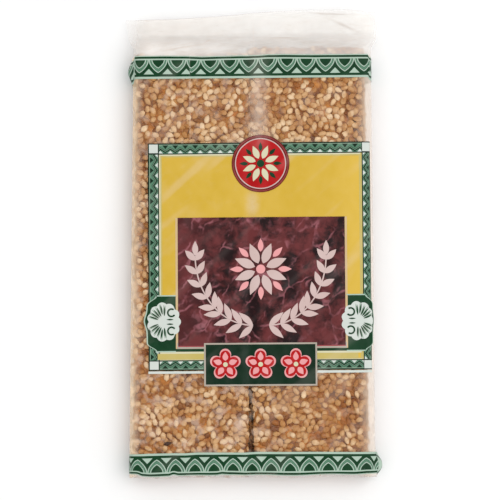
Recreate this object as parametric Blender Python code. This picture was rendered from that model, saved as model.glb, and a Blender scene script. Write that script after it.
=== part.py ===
"""A clear sealed pack that holds two long sesame bars side by side, lying with its label up.

Metres, +Z up. The origin is under the middle of the pack's box, +X runs to the label's right
and +Y towards the end fin. The film, its fin, its back seam and its folded end make one body.
"""

from math import cos, exp, pi, sin, tau
from random import Random

import bmesh
import bpy

# Driving dimensions of the pack
REACH_X = 0.0425            # middle of the box to either corner of the end fin
REACH_Y = 0.07825           # middle of the box to the fin's tip, and to the folded end
LEFT_EDGE = -0.0407         # film's left side at mid-length, as seen from above
RIGHT_EDGE = 0.0396         # film's right side
LEFT_SLANT = 0.0125         # how far the left side runs in for each metre towards the fin
SIDE_DEPTH = 0.0024         # how far a side bulges out past the bars' top edge
LEFT_TOP = 0.0101           # film height over the left bar
RIGHT_TOP = 0.0103          # film height over the right bar
UNDER_LEVEL = 0.0005        # film under the bars, held up by the back seam
SIDE_SQUARENESS = 2.5       # 2 is a round side, more is squarer

# The gap between the bars
GAP_X = -0.0016
GAP_HALF = 0.0012
GAP_SAG = 0.0007

# Seed bumps under the film
BUMP_HEIGHT = 0.00028
BUMP_SEED = 23

# Folded end, towards -Y
NOSE_DEPTH = 0.0022         # length over which the film rounds down over the bars' ends
NOSE_LEAST = 0.3            # share of the full height that the flat of the end keeps
FLAP_END = -0.0662          # inner edge of the flap that is folded under
FOLD_STEP = 0.0004          # width of the step at the edge of the flap or the seam
END_WAVE = 0.00035          # ripple of the folded edge

# Back seam, folded flat along the underside
SEAM_HALF = 0.0058

# Fin end, towards +Y
SHOULDER = 0.0640           # where the film leaves the bars' top edge
FIN_ROOT = 0.0680           # where the two films meet
FIN_LEVEL = 0.0040          # height of the fin where it starts
FIN_DROOP = 0.0012          # how far its tip hangs lower
FIN_THICKNESS = 0.0008
FIN_RIPPLE = 0.00035
FIN_SLANT = 0.0032          # how much shorter the fin is at its left end
FIN_CORNER = 0.0012         # how far its right corner falls back

# Corner ears: gussets of film pinched out at mid-height
UPPER_EAR = 0.0016
LOWER_EAR = 0.0022
EAR_LENGTH = 0.0032
UPPER_EAR_Y = 0.0570
LOWER_EAR_Y = -0.0740

# Mesh spacing
SEED_PITCH = 0.0025
SIDE_STEPS = 8

WRAP_COLOUR = (0.47, 0.27, 0.13, 1.0)


def clear_scene():
    """Removes every object of the file that the script starts in."""
    for item in list(bpy.data.objects):
        bpy.data.objects.remove(item, do_unlink=True)


def blend(start, end, value):
    """Goes smoothly from 0 at start to 1 at end."""
    share = min(max((value - start) / (end - start), 0.0), 1.0)
    return share * share * (3.0 - 2.0 * share)


def hump(value, centre, width):
    """A soft hump of height 1."""
    return exp(-((value - centre) / width) ** 2)


def fin_share(y):
    """0 on the bars, 1 on the fin."""
    return blend(SHOULDER, FIN_ROOT, y)


def side_edges(y):
    """The film's left and right side at mid-height, without the ears."""
    left = LEFT_EDGE + LEFT_SLANT * y
    right = RIGHT_EDGE
    share = fin_share(y) * (0.6 + 0.4 * blend(FIN_ROOT, REACH_Y, y))
    return left + (-REACH_X - left) * share, right + (REACH_X - right) * share


def ears(y):
    """How far the pinched gussets stand out, left and right."""
    left = UPPER_EAR * hump(y, UPPER_EAR_Y, EAR_LENGTH)
    right = LOWER_EAR * hump(y, LOWER_EAR_Y, EAR_LENGTH)
    return left, right


def fullness(y):
    """The share of the pack's full height that is open at this place along it."""
    into_nose = (y + REACH_Y) / NOSE_DEPTH
    if into_nose < 1.0:
        return max(NOSE_LEAST, (1.0 - (1.0 - into_nose) ** SIDE_SQUARENESS) ** (1.0 / SIDE_SQUARENESS))
    if y > SHOULDER:
        least = FIN_THICKNESS / RIGHT_TOP
        share = (y - SHOULDER) / (FIN_ROOT - SHOULDER)
        fall = max(0.0, 1.0 - share ** SIDE_SQUARENESS) ** (1.0 / SIDE_SQUARENESS) if share < 1.0 else 0.0
        return least + (1.0 - least) * fall
    return 1.0


def closing_level(x, y):
    """The height at which the upper and the under film meet at either end."""
    ripple = sin(tau * x / 0.031 + 0.8) + 0.6 * sin(tau * (x + 0.7 * y) / 0.017)
    tip = blend(FIN_ROOT, REACH_Y, y)
    return FIN_LEVEL - FIN_DROOP * tip + FIN_RIPPLE * ripple * fin_share(y)


def full_top(x, y):
    """The film over the bars, with its sag along the gap between them."""
    side = blend(GAP_X - GAP_HALF, GAP_X + GAP_HALF, x)
    lie = 0.00012 * sin(tau * (y + 0.02) / 0.09)
    return LEFT_TOP + (RIGHT_TOP - LEFT_TOP) * side - GAP_SAG * hump(x, GAP_X, GAP_HALF) + lie


def full_under(x, y):
    """The film under the bars, with the back seam and the flap that is folded under."""
    off_seam = blend(SEAM_HALF, SEAM_HALF + FOLD_STEP, abs(x))
    off_flap = blend(FLAP_END, FLAP_END + FOLD_STEP, y)
    return UNDER_LEVEL * off_seam * off_flap


def top_height(x, y):
    """The upper film's height at any place on the pack."""
    level = closing_level(x, y)
    return level + (full_top(x, y) - level) * fullness(y)


def under_height(x, y):
    """The under film's height at any place on the pack."""
    level = closing_level(x, y)
    return level + (full_under(x, y) - level) * fullness(y)


def length_place(x, y):
    """Moves a ring's point along the pack: the fin's slanting tip and the ripple of the fold."""
    if y > FIN_ROOT:
        tip = REACH_Y - FIN_SLANT * blend(0.025, -0.035, x) - FIN_CORNER * blend(0.028, REACH_X, x)
        return FIN_ROOT + (y - FIN_ROOT) * (tip - FIN_ROOT) / (REACH_Y - FIN_ROOT)
    ripple = 0.5 + 0.5 * sin(tau * x / 0.022 + 1.1)
    return y + END_WAVE * ripple * hump(y, -REACH_Y, NOSE_DEPTH)


def spread(start, end, count):
    """Evenly spaced values from start to end, both included."""
    return [start + (end - start) * i / count for i in range(count + 1)]


def top_columns(left, right):
    """Places across the upper film, with three of them on the gap between the bars."""
    count = round((RIGHT_EDGE - GAP_X) / SEED_PITCH)
    return spread(left, GAP_X - GAP_HALF, count) + [GAP_X] + spread(GAP_X + GAP_HALF, right, count)


def under_columns(left, right):
    """Places across the under film, from right to left, with the seam's edges among them."""
    step = SEAM_HALF + FOLD_STEP
    return [right, 0.5 * (right + step), step, SEAM_HALF, -SEAM_HALF, -step, 0.5 * (left - step), left]


def stations():
    """Places along the pack, close together where the film turns."""
    nose = [-REACH_Y + NOSE_DEPTH * share for share in (0.0, 0.08, 0.25, 0.55, 1.0)]
    flap = spread(nose[-1], FLAP_END, 4)[1:]
    body_count = round((SHOULDER - FLAP_END) / SEED_PITCH)
    body = spread(FLAP_END + FOLD_STEP, SHOULDER, body_count)
    shoulder = [SHOULDER + (FIN_ROOT - SHOULDER) * share for share in (0.35, 0.65, 0.88, 1.0)]
    return nose + flap + body + shoulder + spread(FIN_ROOT, REACH_Y, 6)[1:]


def side_curve(flat, edge, ear, y, heading):
    """Points down a side, from the upper film's edge (heading 1) or up it (heading -1)."""
    high = top_height(flat, y)
    low = under_height(flat, y)
    middle, half = 0.5 * (high + low), 0.5 * (high - low)
    power = 2.0 / SIDE_SQUARENESS
    points = []
    for step in range(1, SIDE_STEPS):
        angle = heading * (0.5 * pi - pi * step / SIDE_STEPS)
        reach = abs(cos(angle)) ** power
        height = abs(sin(angle)) ** power * (1.0 if angle > 0.0 else -1.0)
        pinch = ear * abs(cos(angle)) ** 6
        away = 1.0 if edge > flat else -1.0
        points.append((flat + (edge - flat) * reach + away * pinch, y, middle + half * height))
    return points


def ring(y, draw):
    """One closed loop of points round the pack: over the top, down, under it and up again."""
    left_edge, right_edge = side_edges(y)
    left_ear, right_ear = ears(y)
    depth = SIDE_DEPTH * (1.0 - fin_share(y)) + FIN_THICKNESS * 0.5 * fin_share(y)
    left, right = left_edge + depth, right_edge - depth
    off_step = blend(0.0, SEED_PITCH, abs(y - FLAP_END - 0.5 * FOLD_STEP))
    bump = BUMP_HEIGHT * (1.0 - fin_share(y)) * blend(-REACH_Y, -REACH_Y + NOSE_DEPTH, y) * off_step
    upper = []
    for x in top_columns(left, right):
        clear = blend(0.0, SEED_PITCH, min(x - left, right - x))
        upper.append((x, y, top_height(x, y) + bump * clear * draw.uniform(-1.0, 1.0)))
    under = [(x, y, under_height(x, y)) for x in under_columns(left, right)]
    right_side = side_curve(right, right_edge, right_ear, y, 1)
    left_side = side_curve(left, left_edge, left_ear, y, -1)
    return [(x, length_place(x, y), z) for x, y, z in upper + right_side + under + left_side]


def end_chains(loop):
    """An end ring's upper and lower run of points, both from its left tip to its right tip."""
    left_tip = min(range(len(loop)), key=lambda i: loop[i].co.x)
    right_tip = max(range(len(loop)), key=lambda i: loop[i].co.x)
    upper = loop[left_tip:] + loop[:right_tip + 1]
    lower = loop[right_tip:left_tip + 1][::-1]
    return upper, lower


def close_end(mesh, loop):
    """Closes an end ring with triangles zipped between its upper and its lower run."""
    upper, lower = end_chains(loop)
    i, j = 0, 0
    while i < len(upper) - 1 or j < len(lower) - 1:
        next_upper = upper[i + 1].co.x if i < len(upper) - 1 else REACH_X * 2.0
        next_lower = lower[j + 1].co.x if j < len(lower) - 1 else REACH_X * 2.0
        if next_upper <= next_lower:
            corners = {upper[i], upper[i + 1], lower[j]}
            i += 1
        else:
            corners = {upper[i], lower[j], lower[j + 1]}
            j += 1
        if len(corners) == 3:
            mesh.faces.new(corners)


def wrap_material():
    """Clear film over golden seeds, as one plain finish."""
    material = bpy.data.materials.new("film_over_sesame")
    material.use_nodes = True
    shader = material.node_tree.nodes["Principled BSDF"]
    shader.inputs["Base Color"].default_value = WRAP_COLOUR
    shader.inputs["Roughness"].default_value = 0.35
    shader.inputs["Metallic"].default_value = 0.0
    return material


def build_pack():
    """Lofts the rings into one closed body and names it."""
    mesh = bmesh.new()
    draw = Random(BUMP_SEED)
    loops = [[mesh.verts.new(point) for point in ring(y, draw)] for y in stations()]
    for low, high in zip(loops, loops[1:]):
        for i in range(len(low)):
            j = (i + 1) % len(low)
            mesh.faces.new((low[i], low[j], high[j], high[i]))
    close_end(mesh, loops[0])
    close_end(mesh, loops[-1])
    bmesh.ops.recalc_face_normals(mesh, faces=mesh.faces)
    data = bpy.data.meshes.new("sealed_pack")
    mesh.to_mesh(data)
    mesh.free()
    data.shade_smooth()
    data.set_sharp_from_angle(angle=0.7)
    pack = bpy.data.objects.new("sealed_pack", data)
    pack.data.materials.append(wrap_material())
    bpy.context.scene.collection.objects.link(pack)
    return pack


clear_scene()
build_pack()
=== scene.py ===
"""The looks of a sealed clear pack of two sesame bars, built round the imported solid.

Metres, +Z up, +Y towards the end fin. The film, its print, the two bars and their seeds replace
the pack's solid and keep its form. Places on the film are given as a distance round the pack from
its middle line, u, and a distance along it, y.
"""

import logging
from dataclasses import dataclass, field
from enum import Enum
from functools import cache
from math import cos, pi, radians, sin, tau
from typing import Callable, Protocol, Sequence, TypeAlias

import bmesh
import bpy
import numpy as np
from mathutils import Matrix, Vector


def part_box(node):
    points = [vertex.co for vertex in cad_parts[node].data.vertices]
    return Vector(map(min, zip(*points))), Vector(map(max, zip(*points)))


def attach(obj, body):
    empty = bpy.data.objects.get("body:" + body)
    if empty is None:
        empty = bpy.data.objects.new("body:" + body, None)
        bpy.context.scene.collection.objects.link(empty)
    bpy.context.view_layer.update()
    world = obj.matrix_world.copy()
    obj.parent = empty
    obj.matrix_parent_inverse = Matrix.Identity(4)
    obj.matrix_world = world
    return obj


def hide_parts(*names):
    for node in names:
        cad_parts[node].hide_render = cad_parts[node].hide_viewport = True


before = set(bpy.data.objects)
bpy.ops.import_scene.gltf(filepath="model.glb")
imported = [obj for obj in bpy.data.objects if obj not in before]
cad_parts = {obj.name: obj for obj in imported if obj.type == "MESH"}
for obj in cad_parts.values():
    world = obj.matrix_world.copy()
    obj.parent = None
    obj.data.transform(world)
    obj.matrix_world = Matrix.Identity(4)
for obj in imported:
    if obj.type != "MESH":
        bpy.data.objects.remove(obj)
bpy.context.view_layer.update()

LOG = logging.getLogger("sesame_pack")
NODE = "sealed_pack"
BODY = "root"
MM = 0.001

Array = np.ndarray
Place = tuple[float, float]
Point = tuple[float, float, float]
Colour = tuple[float, float, float, float]
Curve = tuple[Array, Array]  # places across and along, or a left and a right edge
Feed: TypeAlias = "Wire | float | Sequence[float]"


def srgb(red: float, green: float, blue: float) -> Colour:
    """Turns a colour read off a screen into the linear one that a shader takes.

    Args:
        red: Red, 0 to 255.
        green: Green, 0 to 255.
        blue: Blue, 0 to 255.

    Returns:
        The linear colour with an alpha of 1.
    """
    parts = [value / 255.0 for value in (red, green, blue)]
    linear = [v / 12.92 if v <= 0.04045 else ((v + 0.055) / 1.055) ** 2.4 for v in parts]
    return (linear[0], linear[1], linear[2], 1.0)


def blend(start: float, end: float, value: Array | float) -> Array:
    """Goes smoothly from 0 at start to 1 at end."""
    share = np.clip((np.asarray(value, dtype=float) - start) / (end - start), 0.0, 1.0)
    return share * share * (3.0 - 2.0 * share)


def hump(value: Array | float, centre: float, width: float) -> Array:
    """A soft hump of height 1 at centre."""
    return np.exp(-(((np.asarray(value, dtype=float) - centre) / width) ** 2))


@cache
def corner_heights(seed: int, cells: int) -> Array:
    """A square table of random heights from -1 to 1."""
    return np.random.default_rng(seed).uniform(-1.0, 1.0, (cells, cells))


@dataclass(frozen=True)
class Lumps:
    """Smooth random relief on a plane, from -1 to 1, with one random height at each cell corner."""

    pitch: float  # size of a cell
    seed: int  # seed of the random heights
    cells: int = 257  # cells after which the relief repeats

    def at(self, x: Array, y: Array) -> Array:
        """Reads the relief.

        Args:
            x: Places across.
            y: Places along.

        Returns:
            A height for each place.
        """
        table = corner_heights(self.seed, self.cells)
        across, along = np.asarray(x) / self.pitch, np.asarray(y) / self.pitch
        i, j = np.floor(across).astype(int), np.floor(along).astype(int)
        a, b = across - i, along - j
        a, b = a * a * (3.0 - 2.0 * a), b * b * (3.0 - 2.0 * b)
        i0, i1, j0, j1 = (k % self.cells for k in (i, i + 1, j, j + 1))
        low = table[i0, j0] * (1.0 - a) + table[i1, j0] * a
        high = table[i0, j1] * (1.0 - a) + table[i1, j1] * a
        return low * (1.0 - b) + high * b


@dataclass(frozen=True)
class PackForm:
    """The film's form, with the driving dimensions of the solid.

    A place round the film is a number q: -1 to 1 runs over the top from its left to its right
    edge, 1 to 2 down the right side, 2 to 3 under the pack to the middle line, and the same with
    a minus sign on the left.
    """

    reach_x: float  # half its width over the ears and the fin
    reach_y: float  # half its length
    left_edge: float = -40.7 * MM
    right_edge: float = 39.6 * MM
    left_slant: float = 0.0125  # how far the left side drifts for each metre along
    side_depth: float = 2.4 * MM  # how far the rounded sides reach in
    side_length: float = 11.6 * MM  # distance round one side
    left_top: float = 9.94 * MM
    right_top: float = 10.12 * MM
    under_level: float = 0.45 * MM
    squareness: float = 2.5  # how square the sides and the folded end are
    gap_x: float = -1.4 * MM
    gap_half: float = 1.6 * MM
    gap_sag: float = 0.38 * MM
    nose_depth: float = 2.2 * MM
    nose_least: float = 0.3
    end_wave: float = 0.35 * MM
    shoulder: float = 64.0 * MM  # where the film starts to change into the fin
    fin_root: float = 68.0 * MM  # where it is all fin
    fall_start: float = 64.3 * MM
    fall_end: float = 70.5 * MM
    fin_level: float = 4.0 * MM
    fin_droop: float = 1.2 * MM
    fin_thickness: float = 0.3 * MM
    fin_ripple: float = 0.35 * MM
    fin_slant: float = 3.2 * MM
    fin_corner: float = 1.2 * MM
    upper_ear: float = 1.6 * MM
    lower_ear: float = 2.2 * MM
    ear_length: float = 3.2 * MM
    upper_ear_y: float = 57.0 * MM
    lower_ear_y: float = -74.0 * MM
    seed_lumps: Lumps = Lumps(2.3 * MM, 41)
    soft_lumps: Lumps = Lumps(9.0 * MM, 42)
    crinkle_lumps: Lumps = Lumps(3.1 * MM, 43)

    def fin_share(self, y: Array) -> Array:
        """0 on the bars, 1 on the fin."""
        return blend(self.shoulder, self.fin_root, y)

    def edges(self, y: Array) -> Curve:
        """The film's left and right side at mid-height, without the ears.

        Args:
            y: Places along the pack.

        Returns:
            The left and the right side.
        """
        left = self.left_edge + self.left_slant * y
        right = self.right_edge + 0.0 * y
        share = self.fin_share(y) * (0.6 + 0.4 * blend(self.fin_root, self.reach_y, y))
        return left + (-self.reach_x - left) * share, right + (self.reach_x - right) * share

    def flats(self, y: Array) -> Curve:
        """The left and right edge of the flat top.

        Args:
            y: Places along the pack.

        Returns:
            The left and the right edge.
        """
        left, right = self.edges(y)
        fin = self.fin_share(y)
        depth = self.side_depth * (1.0 - fin) + 0.5 * self.fin_thickness * fin
        return left + depth, right - depth

    def fullness(self, y: Array) -> Array:
        """The share of the pack's full height that is open at this place along it.

        Args:
            y: Places along the pack.

        Returns:
            Shares from 0 to 1.
        """
        power = self.squareness
        into_nose = np.clip((y + self.reach_y) / self.nose_depth, 0.0, 1.0)
        nose = np.maximum(self.nose_least, (1.0 - (1.0 - into_nose) ** power) ** (1.0 / power))
        least = self.fin_thickness / self.right_top
        fall = 1.0 - blend(self.fall_start, self.fall_end, y)
        return nose * (least + (1.0 - least) * fall)

    def closing_level(self, x: Array, y: Array) -> Array:
        """The height at which the upper and the under film meet at either end.

        Args:
            x: Places across the pack.
            y: Places along it.

        Returns:
            Heights.
        """
        ripple = np.sin(tau * x / (31 * MM) + 0.8) + 0.6 * np.sin(tau * (x + 0.7 * y) / (17 * MM))
        tip = blend(self.fin_root, self.reach_y, y)
        return self.fin_level - self.fin_droop * tip + self.fin_ripple * ripple * self.fin_share(y)

    def relief(self, x: Array, y: Array) -> Array:
        """The film's fine relief: seeds that press into it, and slack between them.

        Args:
            x: Places across the pack.
            y: Places along it.

        Returns:
            Heights to add.
        """
        bars = 1.0 - self.fin_share(y)
        seeds = 0.09 * MM * self.seed_lumps.at(x, y) * bars
        slack = 0.08 * MM * self.soft_lumps.at(x, y) * bars
        crinkle = 0.16 * MM * self.crinkle_lumps.at(x * 0.55 + y * 0.2, y) * (1.0 - bars)
        return seeds + slack + crinkle

    def top(self, x: Array, y: Array) -> Array:
        """The upper film's height.

        Args:
            x: Places across the pack.
            y: Places along it.

        Returns:
            Heights.
        """
        side = blend(self.gap_x - self.gap_half, self.gap_x + self.gap_half, x)
        sag = self.gap_sag * hump(x, self.gap_x, self.gap_half)
        lie = 0.12 * MM * np.sin(tau * (y + 20 * MM) / (90 * MM))
        full = self.left_top + (self.right_top - self.left_top) * side - sag + lie
        level = self.closing_level(x, y)
        return level + (full - level) * self.fullness(y) + self.relief(x, y)

    def under(self, x: Array, y: Array) -> Array:
        """The under film's height."""
        level, bumps = self.closing_level(x, y), self.relief(x, y) * self.fin_share(y)
        return level + (self.under_level - level) * self.fullness(y) + bumps

    def along(self, x: Array, y: Array) -> Array:
        """A place's real distance along the pack: the fin's slanting tip and the fold's ripple.

        Args:
            x: Places across the pack.
            y: Places along the straightened pack.

        Returns:
            Real places along it.
        """
        slant = self.fin_slant * blend(25 * MM, -35 * MM, x)
        tip = self.reach_y - slant - self.fin_corner * blend(28 * MM, self.reach_x, x)
        on_fin = self.fin_root + (y - self.fin_root) * (tip - self.fin_root) / (
            self.reach_y - self.fin_root
        )
        ripple = 0.5 + 0.5 * np.sin(tau * x / (22 * MM) + 1.1)
        on_bars = y + self.end_wave * ripple * hump(y, -self.reach_y, self.nose_depth)
        return np.where(y > self.fin_root, on_fin, on_bars)

    def skin(self, q: Array, y: Array) -> Array:
        """Points on the film.

        Args:
            q: Places round the pack.
            y: Places along it, of the same shape.

        Returns:
            The points, with x, y and z in the last axis.
        """
        left_flat, right_flat = self.flats(y)
        left_edge, right_edge = self.edges(y)
        rightward = q > 0.0
        flat = np.where(rightward, right_flat, left_flat)
        edge = np.where(rightward, right_edge, left_edge)
        ear = np.where(
            rightward,
            self.lower_ear * hump(y, self.lower_ear_y, self.ear_length),
            -self.upper_ear * hump(y, self.upper_ear_y, self.ear_length),
        )
        turn = np.abs(q)
        over = flat * np.clip(turn, 0.0, 1.0)
        below = flat * np.clip(3.0 - turn, 0.0, 1.0)
        angle = 0.5 * pi - pi * np.clip(turn - 1.0, 0.0, 1.0)
        lean, rise = np.abs(np.cos(angle)), np.sin(angle)
        power = 2.0 / self.squareness
        high, low = self.top(flat, y), self.under(flat, y)
        beside = flat + (edge - flat) * lean ** power + ear * lean ** 6
        height = 0.5 * (high + low) + 0.5 * (high - low) * np.sign(rise) * np.abs(rise) ** power
        x = np.where(turn <= 1.0, over, np.where(turn >= 2.0, below, beside))
        z = np.where(turn <= 1.0, self.top(x, y), np.where(turn >= 2.0, self.under(x, y), height))
        return np.stack([x, self.along(x, y), z], axis=-1)

    def lifted(self, q: Array, y: Array, lift: float) -> Array:
        """Points a little off the film, on its outer side.

        Args:
            q: Places round the pack.
            y: Places along it.
            lift: How far off the film.

        Returns:
            The points, with x, y and z in the last axis.
        """
        step = 0.002
        reach = 0.1 * MM
        round_way = self.skin(q + step, y) - self.skin(q - step, y)
        long_way = self.skin(q, y + reach) - self.skin(q, y - reach)
        normal = np.cross(round_way, long_way)
        normal /= np.maximum(np.linalg.norm(normal, axis=-1, keepdims=True), 1e-12)
        return self.skin(q, y) + lift * normal

    def turn_of(self, u: Array, y: Array) -> Array:
        """Turns a distance round the film into its place q.

        Args:
            u: Distances from the middle line, positive to the right.
            y: Places along the pack.

        Returns:
            The places q.
        """
        left_flat, right_flat = self.flats(y)
        flat = np.where(u > 0.0, right_flat, -left_flat)
        far = np.abs(u)
        beside = 1.0 + (far - flat) / self.side_length
        below = 2.0 + (far - flat - self.side_length) / flat
        turn = np.where(far <= flat, far / flat, np.where(beside <= 2.0, beside, below))
        return np.sign(u) * np.minimum(turn, 3.0)


def operator(operation: str, flipped: bool = False) -> "Callable[[Wire, Wire | float], Wire]":
    """Makes the method behind one of Python's operators.

    Args:
        operation: The Math node's operation.
        flipped: True where the wire is the second value, as in 1 - wire.

    Returns:
        A method that adds one Math node.
    """

    def combine(wire: "Wire", other: "Wire | float") -> "Wire":
        """Adds the Math node."""
        pair = (other, wire) if flipped else (wire, other)
        return wire.desk.add("ShaderNodeMath", {"operation": operation}, dict(enumerate(pair)))

    return combine


class Wire:
    """A shader value that Python's operators combine by adding Math nodes."""

    __add__ = operator("ADD")
    __radd__ = operator("ADD", flipped=True)
    __sub__ = operator("SUBTRACT")
    __rsub__ = operator("SUBTRACT", flipped=True)
    __mul__ = operator("MULTIPLY")
    __rmul__ = operator("MULTIPLY", flipped=True)
    __truediv__ = operator("DIVIDE")
    at_most = operator("MINIMUM")

    def __init__(self, desk: "Desk", socket: bpy.types.NodeSocket) -> None:
        """Wraps an output socket."""
        self.desk = desk
        self.socket = socket

    def hump(self, centre: float, width: float) -> "Wire":
        """A hump of height 1 at centre that falls to 0 at width to either side."""
        away = self.desk.add("ShaderNodeMath", {"operation": "ABSOLUTE"}, {0: self - centre})
        return self.desk.ease(away, width, 0.0)


class Desk:
    """One material's node tree, with short ways to add nodes to it."""

    def __init__(self, name: str) -> None:
        """Makes the material and keeps its Principled shader and its output.

        Args:
            name: The material's name.
        """
        self.material = bpy.data.materials.new(name)
        self.material.use_nodes = True
        self.tree = self.material.node_tree
        self.shader = self.tree.nodes["Principled BSDF"]

    def add(self, kind: str, settings: dict[str, object], feeds: dict[int | str, Feed],
            output: int | str = 0) -> Wire:
        """Adds one node.

        Args:
            kind: The node's type.
            settings: Its settings, set before anything else.
            feeds: Values or wires for its inputs, by index or name.
            output: The output to hand back.

        Returns:
            The chosen output.
        """
        node = self.tree.nodes.new(kind)
        for name, value in settings.items():
            setattr(node, name, value)
        for name, value in feeds.items():
            self.feed(node.inputs[name], value)
        return Wire(self, node.outputs[output])

    def feed(self, socket: bpy.types.NodeSocket, value: Feed) -> None:
        """Links a wire to a socket, or sets the socket's own value.

        Args:
            socket: The socket.
            value: A wire or a plain value.
        """
        if isinstance(value, Wire):
            self.tree.links.new(value.socket, socket)
        else:
            socket.default_value = value

    def dress(self, **values: Feed) -> bpy.types.Material:
        """Feeds the Principled shader.

        Args:
            **values: Values or wires by socket name, with _ for a space.

        Returns:
            The finished material.
        """
        for name, value in values.items():
            self.feed(self.shader.inputs[name.replace("_", " ")], value)
        return self.material

    def place(self) -> Wire:
        """The point on the piece, in metres."""
        return self.add("ShaderNodeTexCoord", {}, {}, "Object")

    def axes(self, point: Wire) -> tuple[Wire, ...]:
        """A point's x, y and z."""
        split = self.add("ShaderNodeSeparateXYZ", {}, {0: point})
        return tuple(Wire(self, output) for output in split.socket.node.outputs)

    def noise(self, point: Wire, size: float, detail: float = 2.0, rough: float = 0.5) -> Wire:
        """Cloudy noise from 0 to 1 with features of the given size in metres."""
        feeds = {"Vector": point, "Scale": 1.0 / size, "Detail": detail, "Roughness": rough}
        return self.add("ShaderNodeTexNoise", {}, feeds)

    def stretch(self, point: Wire, x: float, y: float, z: float, turn: float = 0.0) -> Wire:
        """The point as seen from axes turned about Z and scaled by x, y and z."""
        feeds = {"Vector": point, "Rotation": (0.0, 0.0, turn), "Scale": (1.0 / x, 1.0 / y, 1.0 / z)}
        return self.add("ShaderNodeMapping", {"vector_type": "TEXTURE"}, feeds)

    def ease(self, value: Wire, low: float, high: float, start: float = 0.0, end: float = 1.0) -> Wire:
        """Goes smoothly from start to end while value goes from low to high.

        Args:
            value: The wire.
            low: Where the change begins.
            high: Where it ends.
            start: The result up to low.
            end: The result from high on.

        Returns:
            The result.
        """
        if low > high:
            low, high, start, end = high, low, end, start
        settings = {"interpolation_type": "SMOOTHSTEP", "clamp": True}
        feeds = {0: value, 1: low, 2: high, 3: start, 4: end}
        return self.add("ShaderNodeMapRange", settings, feeds)

    def mix(self, share: Wire, first: Wire | Colour, second: Wire | Colour, way: str = "MIX") -> Wire:
        """Mixes two colours."""
        settings = {"data_type": "RGBA", "blend_type": way}
        return self.add("ShaderNodeMix", settings, {0: share, 6: first, 7: second}, 2)

    def bump(self, height: Wire, depth: float) -> Wire:
        """A normal from a height that runs from 0 to 1, which stands for depth metres."""
        feeds = {"Strength": 1.0, "Distance": depth, "Height": height}
        return self.add("ShaderNodeBump", {}, feeds)


@dataclass(frozen=True)
class CreaseGlare:
    """Where glare is painted on the film: over the gap, along soft creases and in small cloudy patches."""

    gap_x: float = 1.9 * MM  # middle of the painted glare strip over the upper part of the gap
    label_x: float = -0.4 * MM  # middle of the same strip where it runs on over the label
    fold_x: float = -20.9 * MM  # the sharp crease near the left of the upper band, with a painted highlight line along it
    low_patch: Place = (-5.4 * MM, -62.0 * MM)  # middle of the painted glare patch beside the gap's lower end
    cloud: float = 3.4 * MM  # size of the cloudy patches of painted glare
    patchy: float = 0.5  # how strongly the cloudy patches show
    slack: float = 0.22  # how strongly the painted light along the soft creases shows

    def strip(self, desk: Desk, point: Wire, x: Wire, y: Wire) -> Wire:
        """The painted glare strip over the gap, wider towards the label.

        Args:
            desk: The material's node tree.
            point: The point on the piece.
            x: Its x.
            y: Its y.

        Returns:
            The strip's share of painted glare.
        """
        drift = desk.noise(desk.stretch(point, 1.0, 0.25, 1.0), 9 * MM)
        broken = desk.ease(desk.noise(point, 2.2 * MM, 3.0), 0.28, 0.6)
        reach = desk.ease(y, 16 * MM, 34 * MM, 3.4 * MM, 5.0 * MM)
        middle = desk.ease(y, 16 * MM, 34 * MM, self.label_x, self.gap_x)
        across = ((x + (drift - 0.5) * (2.0 * MM) - middle) / reach).hump(0.0, 1.0)
        along = desk.ease(y, 26 * MM, 36 * MM) + 0.9 * y.hump(12 * MM, 7 * MM)
        return across * along * (0.5 + 0.5 * broken)

    def mask(self, desk: Desk) -> Wire:
        """The share of painted glare, from 0 to 1, over the film.

        Args:
            desk: The material's node tree.

        Returns:
            The share.
        """
        point = desk.place()
        x, y, _ = desk.axes(point)
        strip = self.strip(desk, point, x, y)
        fold = x.hump(self.fold_x, 0.5 * MM) * desk.ease(y, 30 * MM, 37 * MM)
        low = x.hump(self.low_patch[0], 3.2 * MM) * y.hump(self.low_patch[1], 6.5 * MM)
        more = desk.ease(x, 12 * MM, -8 * MM, 0.4, 1.0) * desk.ease(y, -30 * MM, -45 * MM, 0.9, 1.3)
        cloud = desk.ease(desk.noise(point, self.cloud, 2.0), 0.48, 0.7) * more
        streaks = desk.stretch(point, 1.0, 0.16, 1.0, radians(-48))
        slack = desk.ease(desk.noise(streaks, 5.5 * MM, 1.0), 0.54, 0.74)
        parts = 0.85 * strip + 0.35 * fold + 0.5 * low + self.patchy * cloud + self.slack * slack
        return parts.at_most(1.0)


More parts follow.
